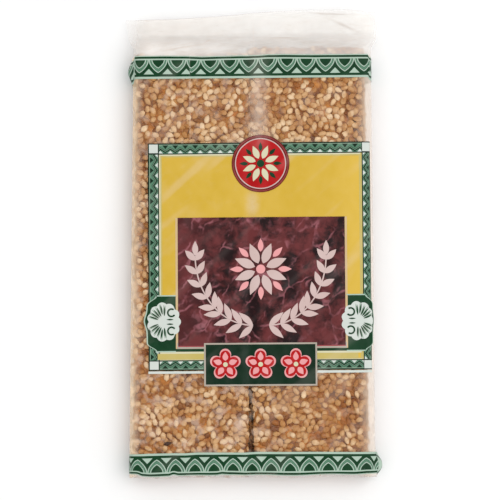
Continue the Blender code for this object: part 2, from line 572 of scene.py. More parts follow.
@dataclass(frozen=True)
class FilmFinish:
    """Thin clear film: mostly see-through, gloss, with painted glare along its creases and painted light
    down its sides.
    """

    name: str
    haze: float = 0.012  # least cover of the film
    cover: float = 0.5  # further cover where glare is painted on it
    lit_wall: float = 0.36  # further cover down its sides: painted light on the lit film
    shoulder: float = 0.62  # the same painted light where its sides turn into its top
    slant: float = 0.0125  # how far its left side drifts to the right for each metre along the pack
    # colour of the film's haze and of the painted glare on it
    milk: Colour = srgb(242, 217, 194)
    dim_milk: Colour = srgb(232, 207, 190)  # the same in its duller places
    lit_warm_rim: Colour = srgb(247, 216, 176)  # colour of the painted light on the sides, warm where bars show through them
    lit_pale_rim: Colour = srgb(241, 229, 217)  # colour of the painted light on the right side's outermost strip
    crinkle: float = 0.03 * MM
    roughness: float = 0.16

    def build(self) -> bpy.types.Material:
        """Makes the material.

        Returns:
            The material.
        """
        desk = Desk(self.name)
        point = desk.place()
        # painted glare: over the gap, along the film's creases and in cloudy patches
        white = CreaseGlare().mask(desk)
        x, y, z = desk.axes(point)
        # painted light: more cover down the sides, nearly full on the left, so that they read as lit film
        # over the bars' edges
        left = desk.ease(x - self.slant * y, -36.3 * MM, -40.5 * MM, 0.0, 0.94)
        side = left + desk.ease(x, 33.0 * MM, 39.4 * MM)
        long_noise = desk.noise(desk.stretch(point, 1.0, 0.2, 1.0), 2.4 * MM)
        streaks = desk.ease(long_noise, 0.3, 0.7, 0.86, 1.0)
        turned = desk.ease(z, 5.5 * MM, 8.5 * MM, self.lit_wall, self.shoulder)
        turned = turned * desk.ease(z, 0.5 * MM, 2.0 * MM)
        cover = (self.haze + self.cover * white + side * turned * streaks).at_most(0.9)
        fine = desk.noise(desk.stretch(point, 1.0, 0.35, 1.0), 1.3 * MM, 2.0)
        rough = desk.ease(desk.noise(point, 6 * MM), 0.3, 0.7, self.roughness, self.roughness + 0.14)
        cloudy = desk.mix(desk.noise(point, 11 * MM), self.milk, self.dim_milk)
        # the colours of the painted light on the sides
        outer = desk.mix(desk.ease(x, 34.5 * MM, 39.5 * MM), self.lit_warm_rim, self.lit_pale_rim)
        tint = desk.mix(side.at_most(1.0), cloudy, outer)
        return desk.dress(
            Base_Color=tint, Alpha=cover, Roughness=rough, Normal=desk.bump(fine, self.crinkle),
            IOR=1.5, Specular_IOR_Level=0.3,
        )


@dataclass(frozen=True)
class Crease:
    """A straight crease in the film, drawn as a line of painted shade."""

    start: Place  # where it starts, across and along the pack
    end: Place  # where it ends
    width: float  # how far it reaches to either side
    depth: float  # how strongly it shows

    def mask(self, desk: Desk, x: Wire, y: Wire) -> Wire:
        """Its share, from 0 to depth, over the film.

        Args:
            desk: The material's node tree; not used.
            x: The point's x.
            y: The point's y.

        Returns:
            The share.
        """
        run = Vector(self.end) - Vector(self.start)
        ahead = run.normalized()
        from_x, from_y = x - self.start[0], y - self.start[1]
        along = from_x * ahead.x + from_y * ahead.y
        across = from_y * ahead.x - from_x * ahead.y
        half = 0.5 * run.length
        return self.depth * across.hump(0.0, self.width) * (along - half).hump(0.0, 1.25 * half)


# the fin's creases, each a line of painted shade
FIN_CREASES = (
    Crease((-34 * MM, 62.6 * MM), (-14 * MM, 66.2 * MM), 0.5 * MM, 0.45),
    Crease((-30 * MM, 64.2 * MM), (-16 * MM, 66.9 * MM), 0.3 * MM, 0.35),
    Crease((-13.5 * MM, 67.6 * MM), (-2 * MM, 68.6 * MM), 0.35 * MM, 0.35),
    Crease((1.5 * MM, 68.0 * MM), (20 * MM, 68.2 * MM), 0.4 * MM, 0.75),
    Crease((25 * MM, 75.5 * MM), (37 * MM, 69.5 * MM), 0.8 * MM, 0.4),
    Crease((17 * MM, 77.2 * MM), (35 * MM, 76.2 * MM), 0.45 * MM, 0.5),
    Crease((0.6 * MM, 62 * MM), (0.2 * MM, 75 * MM), 0.35 * MM, 0.3),
    Crease((-17 * MM, 65.6 * MM), (-13 * MM, 68.4 * MM), 0.5 * MM, 0.6),
)


@dataclass(frozen=True)
class FinFinish:
    """Two films pressed together: milky and crinkled, with painted shade along its crinkles and creases and
    towards its left, thinning out at its free edges.
    """

    name: str
    cover: float = 0.62
    pale: Colour = srgb(252, 249, 245)  # colour of the smooth places
    shade: Colour = srgb(238, 229, 221)  # colour of the painted shade along the crinkles
    dark: Colour = srgb(176, 158, 144)  # colour of the painted shade in the sharp creases
    creases: tuple[Crease, ...] = ()

    def build(self) -> bpy.types.Material:
        """Makes the material.

        Returns:
            The material.
        """
        desk = Desk(self.name)
        point = desk.place()
        x, y, _ = desk.axes(point)
        long_way = desk.stretch(point, 0.3, 1.0, 1.0, radians(8))
        folds = desk.noise(long_way, 1.9 * MM, 3.0, 0.55)
        cloud = desk.noise(point, 8 * MM, 2.0)
        near_root = desk.ease(y, 72 * MM, 62 * MM)
        wisps = desk.noise(desk.stretch(point, 0.22, 1.0, 1.0, radians(-7)), 1.1 * MM, 2.0)
        left = desk.ease(x, 5 * MM, -30 * MM)
        # painted shade: along the crinkles, more near the root, along fine wisps, and darker towards the
        # left
        share = desk.ease(folds, 0.36, 0.66) * (0.2 + 0.4 * near_root) + 0.3 * left
        share = share + 0.45 * desk.ease(wisps, 0.6, 0.74)
        tint = desk.mix(share.at_most(1.0), self.pale, self.shade)
        left_edge = desk.ease(x, -42.0 * MM, -33.0 * MM, 0.2, 1.0)
        right_edge = desk.ease(x, 41.5 * MM, 38.0 * MM, 0.4, 1.0)
        tip = desk.ease(y, 78.3 * MM, 74.5 * MM, 0.35, 1.0)
        over_bars = desk.ease(y, 68 * MM, 64.5 * MM) * (0.27 * left - 0.13)
        body = (self.cover + over_bars) * desk.ease(cloud, 0.25, 0.75, 0.9, 1.05)
        cover = body * left_edge * right_edge * tip
        # the creases as lines of painted shade
        if self.creases:
            first, *others = (crease.mask(desk, x, y) for crease in self.creases)
            lines = sum(others, first)
            tint = desk.mix(lines.at_most(1.0), tint, self.dark)
            cover = cover + 0.4 * lines
        return desk.dress(
            Base_Color=tint, Alpha=cover.at_most(0.95), Roughness=0.3, IOR=1.5,
            Specular_IOR_Level=0.3, Normal=desk.bump(folds, 0.1 * MM),
        )


@dataclass(frozen=True)
class InkFinish:
    """Printed ink under gloss, worn, with painted glare where the film is creased."""

    name: str
    colour: Colour  # the ink
    fade: Colour  # a second tone that clouds it
    mottle: float = 6 * MM  # size of the cloudy patches
    amount: float = 0.5  # how strongly they show
    crease_glare: float = 0.3  # how strongly the painted glare along the film's creases lightens it
    veined: bool = False  # True for the marbled panel
    painted_side_light: float = 0.0  # painted light: how much lighter it gets towards the pack's right side, where the lamp stands

    def marble(self, desk: Desk, point: Wire) -> Wire:
        """The marbled panel's colour: dark clouds on the ink, with fine pale crackle veins.

        Args:
            desk: The material's node tree.
            point: The point on the piece.

        Returns:
            The colour.
        """
        broad = {"Vector": point, "Scale": 1.0 / (6 * MM), "Detail": 3.0}
        drift = desk.add("ShaderNodeTexNoise", {}, broad, "Color")
        feeds = {0: drift, 1: (5 * MM, 5 * MM, 5 * MM), 2: point}
        bent = desk.add("ShaderNodeVectorMath", {"operation": "MULTIPLY_ADD"}, feeds)
        x, _, _ = desk.axes(point)
        dark = desk.ease(desk.noise(bent, 8 * MM, 4.0, 0.6), 0.36, 0.6)
        dark = dark * desk.ease(x, -25 * MM, -8 * MM, 0.55, 1.0)
        ground = desk.mix(dark, self.fade, self.colour)
        slanted = desk.stretch(bent, 1.0, 0.6, 1.0, radians(-35))
        cells = {"Vector": slanted, "Scale": 1.0 / (6.5 * MM)}
        edge = desk.add("ShaderNodeTexVoronoi", {"feature": "DISTANCE_TO_EDGE"}, cells)
        veins = desk.ease(edge, 0.06, 0.0) * desk.ease(desk.noise(point, 5 * MM), 0.42, 0.64)
        wisps = desk.ease(desk.noise(slanted, 2.6 * MM, 3.0), 0.56, 0.76)
        return desk.mix((0.7 * veins + 0.35 * wisps).at_most(0.85), ground, srgb(158, 96, 104))

    def build(self) -> bpy.types.Material:
        """Makes the material.

        Returns:
            The material.
        """
        desk = Desk(self.name)
        point = desk.place()
        share = desk.ease(desk.noise(point, self.mottle, 3.0), 0.3, 0.7, 0.0, self.amount)
        ink = self.marble(desk, point) if self.veined else desk.mix(share, self.colour, self.fade)
        # painted light: lighter towards the right side
        if self.painted_side_light:
            x, _, _ = desk.axes(point)
            ink = desk.mix(desk.ease(x, 22 * MM, 36 * MM, 0.0, self.painted_side_light), ink, srgb(226, 190, 84))
        # painted glare from the film's creases, laid over the print
        white = CreaseGlare(patchy=0.08, slack=0.42).mask(desk)
        shown = desk.mix(white * self.crease_glare, ink, srgb(236, 224, 218))
        rough = desk.ease(desk.noise(point, 3 * MM), 0.3, 0.7, 0.26, 0.42)
        ripple = desk.noise(desk.stretch(point, 1.0, 0.5, 1.0, radians(30)), 4 * MM, 2.0)
        return desk.dress(
            Base_Color=shown, Roughness=rough, Normal=desk.bump(ripple, 0.06 * MM),
            Specular_IOR_Level=0.12,
        )


@dataclass(frozen=True)
class Glaze:
    """Where caramel has run over the seeds: cloudy patches and a few strong pools."""

    tint: Colour = (0.64, 0.43, 0.2, 1.0)  # what thick caramel lets through
    patch: float = 6.5 * MM  # size of the cloudy patches
    level: float = 9.2 * MM  # height of the bars' tops
    reach: float = 3.8 * MM  # how far a pool reaches
    # middles of the pools, across and along the pack, in millimetres
    pools: tuple[Place, ...] = (
        (-24.0, 51.3), (-11.2, 43.1), (-4.6, 40.4), (7.9, 46.0), (34.3, 35.5), (-38.3, -50.7),
        (-35.4, -65.9), (-10.4, -50.5), (-10.9, -61.9), (7.0, -51.0), (8.0, -61.0), (30.6, -59.3),
    )

    def mask(self, desk: Desk, point: Wire) -> Wire:
        """The share of caramel, from 0 to 1.

        Args:
            desk: The material's node tree.
            point: The point on the piece.

        Returns:
            The share.
        """
        x, y, _ = desk.axes(point)
        low_right = desk.ease(x, 0.0, 9 * MM) * desk.ease(y, -40 * MM, -50 * MM)
        high_right = desk.ease(x, 6 * MM, 12 * MM) * desk.ease(y, 30 * MM, 36 * MM)
        cloud = desk.noise(point, self.patch, 3.0, 0.6) + 0.06 * low_right + 0.035 * high_right
        share = desk.ease(cloud, 0.47, 0.63) * 0.9 + 0.12 * low_right
        for across, along in self.pools:
            feeds = {0: point, 1: (across * MM, along * MM, self.level)}
            away = desk.add("ShaderNodeVectorMath", {"operation": "DISTANCE"}, feeds, "Value")
            share = share + desk.ease(away, self.reach, 0.2 * self.reach)
        return share.at_most(1.0)


@dataclass(frozen=True)
class CaramelFinish:
    """Hard amber caramel between the seeds."""

    name: str = "amber_caramel"
    amber: Colour = srgb(184, 114, 40)  # the thin, light places
    deep: Colour = srgb(104, 54, 13)  # the thick, dark places

    def build(self) -> bpy.types.Material:
        """Makes the material.

        Returns:
            The material.
        """
        desk = Desk(self.name)
        point = desk.place()
        thin = desk.noise(point, 5 * MM, 3.0, 0.55)
        cells = {"Vector": point, "Scale": 1.0 / (2.2 * MM)}
        grains = desk.add("ShaderNodeTexVoronoi", {"feature": "F1"}, cells)
        tint = desk.mix(desk.ease(thin, 0.34, 0.66), self.deep, self.amber)
        lit = desk.mix(desk.ease(grains, 0.1, 0.6, 0.3, 0.0), tint, srgb(200, 146, 84))
        glaze = Glaze()
        shown = desk.mix(glaze.mask(desk, point) * 0.4, lit, glaze.tint, "MULTIPLY")
        height = desk.noise(point, 1.6 * MM, 3.0)
        return desk.dress(
            Base_Color=shown, Roughness=desk.ease(thin, 0.3, 0.7, 0.26, 0.45), Specular_IOR_Level=0.3,
            Normal=desk.bump(height, 0.3 * MM), Coat_Weight=0.1, Coat_Roughness=0.15,
        )


class SeedKind(Enum):
    """The seeds' tones, a light and a dark one each, from the palest to the one burnt seed's."""

    CREAM = (srgb(232, 202, 164), srgb(220, 184, 140))
    PALE = (srgb(212, 170, 122), srgb(200, 154, 104))
    GOLDEN = (srgb(188, 136, 80), srgb(170, 114, 56))
    TOASTED = (srgb(154, 98, 44), srgb(120, 70, 26))
    BURNT = (srgb(58, 34, 22), srgb(40, 24, 16))


ROASTS = len(SeedKind) - 1


@dataclass(frozen=True)
class SeedFinish:
    """Roasted sesame under a thin caramel glaze."""

    kind: SeedKind

    def build(self) -> bpy.types.Material:
        """Makes the material.

        Returns:
            The material.
        """
        desk = Desk(f"{self.kind.name.lower()}_sesame")
        light, dark = self.kind.value
        tone = desk.add("ShaderNodeAttribute", {"attribute_name": "tone"}, {}, "Fac")
        tip = desk.add("ShaderNodeAttribute", {"attribute_name": "tip"}, {}, "Fac")
        point = desk.place()
        speckle = desk.noise(point, 0.5 * MM, 2.0)
        own = desk.mix(tone, light, dark)
        tipped = desk.mix(desk.ease(tip, 0.55, 1.0, 0.0, 0.45), own, srgb(150, 92, 42))
        speckled = desk.mix(desk.ease(speckle, 0.35, 0.75, 0.0, 0.22), tipped, srgb(128, 78, 36))
        glaze = Glaze()
        shown = desk.mix(glaze.mask(desk, point) * 0.85, speckled, glaze.tint, "MULTIPLY")
        return desk.dress(
            Base_Color=shown, Roughness=desk.ease(speckle, 0.3, 0.7, 0.38, 0.55), Specular_IOR_Level=0.25,
            Normal=desk.bump(speckle, 0.05 * MM), Coat_Weight=0.08, Coat_Roughness=0.2,
        )


class Ink(Enum):
    """The inks of the print, each with its finish."""

    DARK_GREEN = InkFinish("dark_green_ink", srgb(7, 50, 25), srgb(14, 66, 35), crease_glare=0.12)
    BLACK_GREEN = InkFinish("black_green_ink", srgb(4, 34, 17), srgb(9, 46, 25), crease_glare=0.08)
    LEAF_GREEN = InkFinish("leaf_green_ink", srgb(80, 122, 97), srgb(98, 136, 113), crease_glare=0.15)
    SAGE = InkFinish("sage_ink", srgb(122, 148, 126), srgb(136, 158, 138), crease_glare=0.15)
    MINT = InkFinish("mint_ink", srgb(162, 184, 167), srgb(176, 196, 181), crease_glare=0.2)
    CREAM = InkFinish("cream_ink", srgb(204, 200, 166), srgb(210, 205, 180), crease_glare=0.2)
    STRAW = InkFinish("straw_ink", srgb(190, 172, 98), srgb(196, 180, 114), crease_glare=0.2)
    TAN = InkFinish("tan_ink", srgb(201, 172, 128), srgb(206, 180, 138), crease_glare=0.2)
    YELLOW = InkFinish("yellow_ink", srgb(202, 166, 55), srgb(206, 171, 67), 9 * MM, 0.9, 0.32, painted_side_light=0.3)
    MAROON = InkFinish("maroon_ink", srgb(28, 8, 10), srgb(102, 45, 46), crease_glare=0.08, veined=True)
    BLUSH = InkFinish("blush_ink", srgb(198, 173, 168), srgb(208, 186, 182), crease_glare=0.2)
    STONE = InkFinish("stone_ink", srgb(168, 158, 144), srgb(178, 168, 158), crease_glare=0.2)
    PINK = InkFinish("pink_ink", srgb(222, 150, 152), srgb(230, 168, 166), crease_glare=0.2)
    RED = InkFinish("red_ink", srgb(176, 14, 18), srgb(154, 8, 12), crease_glare=0.15)
    ROSE = InkFinish("rose_ink", srgb(146, 60, 64), srgb(166, 82, 86), crease_glare=0.15)
    DARK_RED = InkFinish("dark_red_ink", srgb(100, 22, 16), srgb(124, 36, 28), crease_glare=0.15)
    WHITE = InkFinish("white_ink", srgb(204, 210, 203), srgb(196, 203, 197), crease_glare=0.2)


@dataclass(frozen=True)
class FloorFinish:
    """A matt white floor with the faintest mottling."""

    name: str = "pale_floor"

    def build(self) -> bpy.types.Material:
        """Makes the material.

        Returns:
            The material.
        """
        desk = Desk(self.name)
        cloud = desk.noise(desk.place(), 60 * MM, 2.0)
        tint = desk.mix(cloud, (0.9, 0.9, 0.9, 1.0), (0.93, 0.93, 0.925, 1.0))
        return desk.dress(Base_Color=tint, Roughness=desk.ease(cloud, 0.0, 1.0, 0.6, 0.7))


@dataclass(frozen=True)
class Shape:
    """A mesh as arrays."""

    points: Array  # its points, one a row
    corners: Array  # the point numbers of every face, one face after another
    sizes: Array  # how many corners each face has

    @classmethod
    def of(cls, points: Array, faces: Sequence[Sequence[int]]) -> "Shape":
        """Makes a shape from a list of faces."""
        sizes = np.array([len(face) for face in faces])
        return cls(points, np.array([corner for face in faces for corner in face]), sizes)

    def repeated(self, blocks: Array) -> "Shape":
        """Makes many copies of this shape.

        Args:
            blocks: Each copy's points, by copy, point and axis.

        Returns:
            One shape with every copy.
        """
        count, length = blocks.shape[0], blocks.shape[1]
        corners = self.corners[None, :] + length * np.arange(count)[:, None]
        return Shape(blocks.reshape(-1, 3), corners.ravel(), np.tile(self.sizes, count))


class Recipe(Protocol):
    """Any finish."""

    def build(self) -> bpy.types.Material:
        """Makes the material."""


class Workshop:
    """Turns shapes into pieces that ride on the pack."""

    def __init__(self) -> None:
        """Starts with no finish made yet."""
        self.finishes: dict[str, bpy.types.Material] = {}

    def finish(self, recipe: Recipe) -> bpy.types.Material:
        """Makes a finish once and hands back the same material after that.

        Args:
            recipe: The finish.

        Returns:
            The material.
        """
        key = repr(recipe)
        if key not in self.finishes:
            self.finishes[key] = recipe.build()
        return self.finishes[key]

    def piece(self, name: str, shape: Shape, material: bpy.types.Material,
              replaces: bool = False, marks: dict[str, Array] | None = None) -> bpy.types.Object:
        """Makes one piece.

        Args:
            name: The piece's name.
            shape: Its mesh.
            material: Its material.
            replaces: True if it stands for the pack's solid.
            marks: Numbers for each point, by name, that its material reads.

        Returns:
            The piece.
        """
        data = bpy.data.meshes.new(name)
        data.vertices.add(len(shape.points))
        data.vertices.foreach_set("co", shape.points.astype(np.float32).ravel())
        data.loops.add(len(shape.corners))
        data.loops.foreach_set("vertex_index", shape.corners.astype(np.int32))
        data.polygons.add(len(shape.sizes))
        starts = np.cumsum(shape.sizes) - shape.sizes
        data.polygons.foreach_set("loop_start", starts.astype(np.int32))
        data.update(calc_edges=True)
        for mark, values in (marks or {}).items():
            layer = data.attributes.new(mark, "FLOAT", "POINT")
            layer.data.foreach_set("value", np.asarray(values, dtype=np.float32))
        data.shade_smooth()
        data.materials.append(material)
        item = bpy.data.objects.new(name, data)
        bpy.context.scene.collection.objects.link(item)
        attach(item, BODY)
        if replaces:
            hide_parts(NODE)
        LOG.info("%s: %d triangles", name, int(np.sum(shape.sizes - 2)))
        return item


def grid_faces(rows: int, columns: int, start: int = 0, closed: bool = False) -> list[tuple[int, ...]]:
    """Faces between the rows of a grid of points.

    Args:
        rows: The number of rows.
        columns: Points in a row.
        start: The number of the grid's first point.
        closed: True where a row's last point is joined to its first.

    Returns:
        The faces.
    """
    faces = []
    for i in range(rows - 1):
        low, high = start + i * columns, start + (i + 1) * columns
        for j in range(columns if closed else columns - 1):
            k = (j + 1) % columns
            faces.append((low + j, low + k, high + k, high + j))
    return faces


def tube_faces(rows: int, half: int, close_low: bool, close_high: bool) -> list[tuple[int, ...]]:
    """Faces of a tube of rings, each ring an upper run and the lower run back under it.

    Args:
        rows: The number of rings.
        half: Points in a ring's upper run, both tips included.
        close_low: True to close the first ring.
        close_high: True to close the last ring.

    Returns:
        The faces, pointing out.
    """
    count = 2 * half - 2
    faces = grid_faces(rows, count, closed=True)
    for close, row in ((close_low, 0), (close_high, rows - 1)):
        if close:
            start = row * count
            for i in range(half - 1):
                lower, after = (count - i) % count, count - i - 1
                corners = (start + i, start + lower, start + after, start + i + 1)
                corners = tuple(dict.fromkeys(corners))
                faces.append(corners if row == 0 else corners[::-1])
    return faces


def beyond(centre: Place, far: float, angle: float) -> Place:
    """The place that lies far from a centre in the direction of an angle."""
    return centre[0] + far * cos(angle), centre[1] + far * sin(angle)


def spaced(start: float, end: float, step: float) -> Array:
    """Evenly spaced values from start to end, about a step apart."""
    return np.linspace(start, end, max(2, round(abs(end - start) / step) + 1))


@dataclass
class FilmWrap:
    """The clear film round the bars, its crinkled end fin, and the seals folded under it."""

    shop: Workshop
    form: PackForm
    mesh_step: float = 0.85 * MM  # distance between points on the film
    side_points: int = 9  # points down one side
    fin_start: float = 61.5 * MM  # where the clear film ends and the fin begins
    seam_half: float = 5.6 * MM  # half the back seam's width
    flap_end: float = -66.4 * MM  # inner edge of the folded flap
    seal_low: float = 0.02 * MM  # height of a seal's lower face
    seal_high: float = 0.3 * MM  # height of its upper face
    rib_pitch: float = 1.5 * MM  # distance between the ribs that the sealing jaws leave
    rib_depth: float = 0.07 * MM  # their depth

    def ring_places(self) -> Array:
        """Places q of one ring: the upper run from left to right, then the lower run back.

        Returns:
            The places.
        """
        over = spaced(-1.0, 1.0, self.mesh_step / self.form.right_edge)
        side = np.linspace(1.0, 1.5, self.side_points // 2 + 1)[1:]
        upper = np.concatenate([-side[::-1], over, side])
        lower = np.sign(upper) * (3.0 - np.abs(upper))
        middle = np.abs(upper) < 1e-9
        lower[middle] = 3.0
        return np.concatenate([upper, lower[::-1][1:-1]])

    def tube(self, stations: Array, close_low: bool, close_high: bool) -> Shape:
        """Lofts the film through the given places along the pack.

        Args:
            stations: Places along the pack.
            close_low: True to close the first place.
            close_high: True to close the last one.

        Returns:
            The lofted shape.
        """
        ring = self.ring_places()
        q, y = np.meshgrid(ring, stations)
        points = self.form.skin(q, y).reshape(-1, 3)
        half = len(ring) // 2 + 1
        return Shape.of(points, tube_faces(len(stations), half, close_low, close_high))

    def strip(self, x: Array, y: Array, ribs: Array) -> Shape:
        """A thin closed strip with ribs on both faces.

        Args:
            x: Places across, one a column.
            y: Places along, one a row.
            ribs: Heights of the ribs from -1 to 1, with the shape of the grid.

        Returns:
            The strip.
        """
        across, along = np.meshgrid(x, y)
        rise = self.rib_depth * ribs
        top = np.stack([across, along, self.seal_high - self.rib_depth + rise], axis=-1)
        low = np.stack([across, along, self.seal_low + self.rib_depth + rise], axis=-1)
        rows, columns = across.shape
        points = np.concatenate([top, low[:, ::-1]], axis=1).reshape(-1, 3)
        wide = 2 * columns
        faces = grid_faces(rows, wide, closed=True)
        for row in (0, rows - 1):
            for j in range(columns - 1):
                start = row * wide
                corners = (start + j, start + wide - 1 - j, start + wide - 2 - j, start + j + 1)
                faces.append(corners if row == 0 else corners[::-1])
        return Shape.of(points, faces)

    def build_film(self) -> None:
        """Makes the clear film from the folded end to the fin."""
        form = self.form
        nose = -form.reach_y + form.nose_depth * np.array([0.0, 0.04, 0.12, 0.25, 0.42, 0.65])
        body = spaced(-form.reach_y + form.nose_depth, self.fin_start, self.mesh_step)
        shape = self.tube(np.concatenate([nose, body]), True, False)
        self.shop.piece("clear_film", shape, self.shop.finish(FilmFinish("clear_film")), True)

    def build_fin(self) -> None:
        """Makes the milky fin at the pack's upper end."""
        form = self.form
        root = spaced(self.fin_start, form.fin_root, 0.35 * MM)
        fin = spaced(form.fin_root, form.reach_y, 0.45 * MM)[1:]
        shape = self.tube(np.concatenate([root, fin]), False, True)
        film = self.shop.finish(FinFinish("milky_fin", creases=FIN_CREASES))
        self.shop.piece("end_fin", shape, film, True)

    def build_seals(self) -> None:
        """Makes the back seam and the end seal that is folded under the pack."""
        film = self.shop.finish(FinFinish("pressed_seal", 0.4))
        form, step = self.form, 0.3 * MM
        seals = {
            "back_seam": (-self.seam_half, self.seam_half, self.flap_end + step, form.shoulder),
            "folded_flap": (
                form.left_edge + 3.2 * MM, form.right_edge - 3.0 * MM,
                1.6 * MM - form.reach_y, self.flap_end,
            ),
        }
        for name, (left, right, low, high) in seals.items():
            x, y = spaced(left, right, 1.2 * MM), spaced(low, high, step)
            ribs = np.sin(tau * y / self.rib_pitch)[:, None] * np.ones(len(x))
            self.shop.piece(name, self.strip(x, y, ribs), film)

    def build(self) -> None:
        """Makes every part of the film."""
        self.build_film()
        self.build_fin()
        self.build_seals()


@dataclass
class SesameBar:
    """One pressed bar: a caramel core that its seeds sit in."""

    shop: Workshop
    name: str
    left_high: float  # its left edge at the fin's end
    left_low: float  # its left edge at the folded end
    right_high: float
    right_low: float
    far_end: float  # its end towards the fin
    top: float  # height of its core
    lumps: Lumps  # the core's relief
    near_end: float = -76.3 * MM  # its end towards the fold
    base: float = 1.05 * MM  # height of its underside
    squareness: float = 9.0  # how square its edges are
    relief: float = 0.22 * MM

    def edges(self, y: Array) -> Curve:
        """The core's left and right edge at y.

        Args:
            y: Places along the pack.

        Returns:
            The left and the right edge.
        """
        share = (np.asarray(y) - self.near_end) / (self.far_end - self.near_end)
        left = self.left_low + (self.left_high - self.left_low) * share
        right = self.right_low + (self.right_high - self.right_low) * share
        return left, right

    def core(self) -> Shape:
        """The lumpy core.

        Returns:
            The core's shape.
        """
        rim = np.array([0.962, 0.982, 0.993, 0.9985, 1.0])
        inner = np.linspace(0.0, 0.94, 26)
        half = np.concatenate([inner, rim])
        across = np.concatenate([-half[::-1], half[1:]])
        bulge = (1.0 - np.abs(across) ** self.squareness) ** (1.0 / self.squareness)
        ends = np.array([0.0, 0.15, 0.5, 1.0]) * MM
        stations = np.concatenate([
            self.near_end + ends[:-1],
            spaced(self.near_end + ends[-1], self.far_end - ends[-1], 1.3 * MM),
            self.far_end - ends[:-1][::-1],
        ])
        from_end = np.minimum(stations - self.near_end, self.far_end - stations)
        shrink = 1.0 - 0.08 * (1.0 - np.clip(from_end / ends[-1], 0.0, 1.0)) ** 2
        left, right = self.edges(stations)
        middle, reach = 0.5 * (left + right), 0.5 * (right - left)
        height, level = 0.5 * (self.top - self.base), 0.5 * (self.top + self.base)
        x = middle[:, None] + reach[:, None] * across[None, :]
        rise = height * shrink[:, None] * bulge[None, :]
        y = np.repeat(stations[:, None], len(across), axis=1)
        lump = self.relief * self.lumps.at(x, y) * np.minimum(bulge * 4.0, 1.0)
        upper = np.stack([x, y, level + rise + lump], axis=-1)
        lower = np.stack([x, y, level - rise - 0.4 * lump], axis=-1)
        rings = np.concatenate([upper, lower[:, ::-1][:, 1:-1]], axis=1)
        return Shape.of(rings.reshape(-1, 3), tube_faces(len(stations), len(across), True, True))

    def build(self) -> None:
        """Makes the core."""
        caramel = self.shop.finish(CaramelFinish())
        self.shop.piece(f"{self.name}_core", self.core(), caramel, True)


@dataclass(frozen=True)
class SeedLayer:
    """One layer of seeds."""

    pitch: float  # distance between neighbours before they are jogged
    rise: float  # height of the seeds' middles over the face that carries them
    tilt: float  # the most that a seed leans out of the face, in radians
    bright: float  # moves the draw of tones, from -1 for toasted to 1 for pale


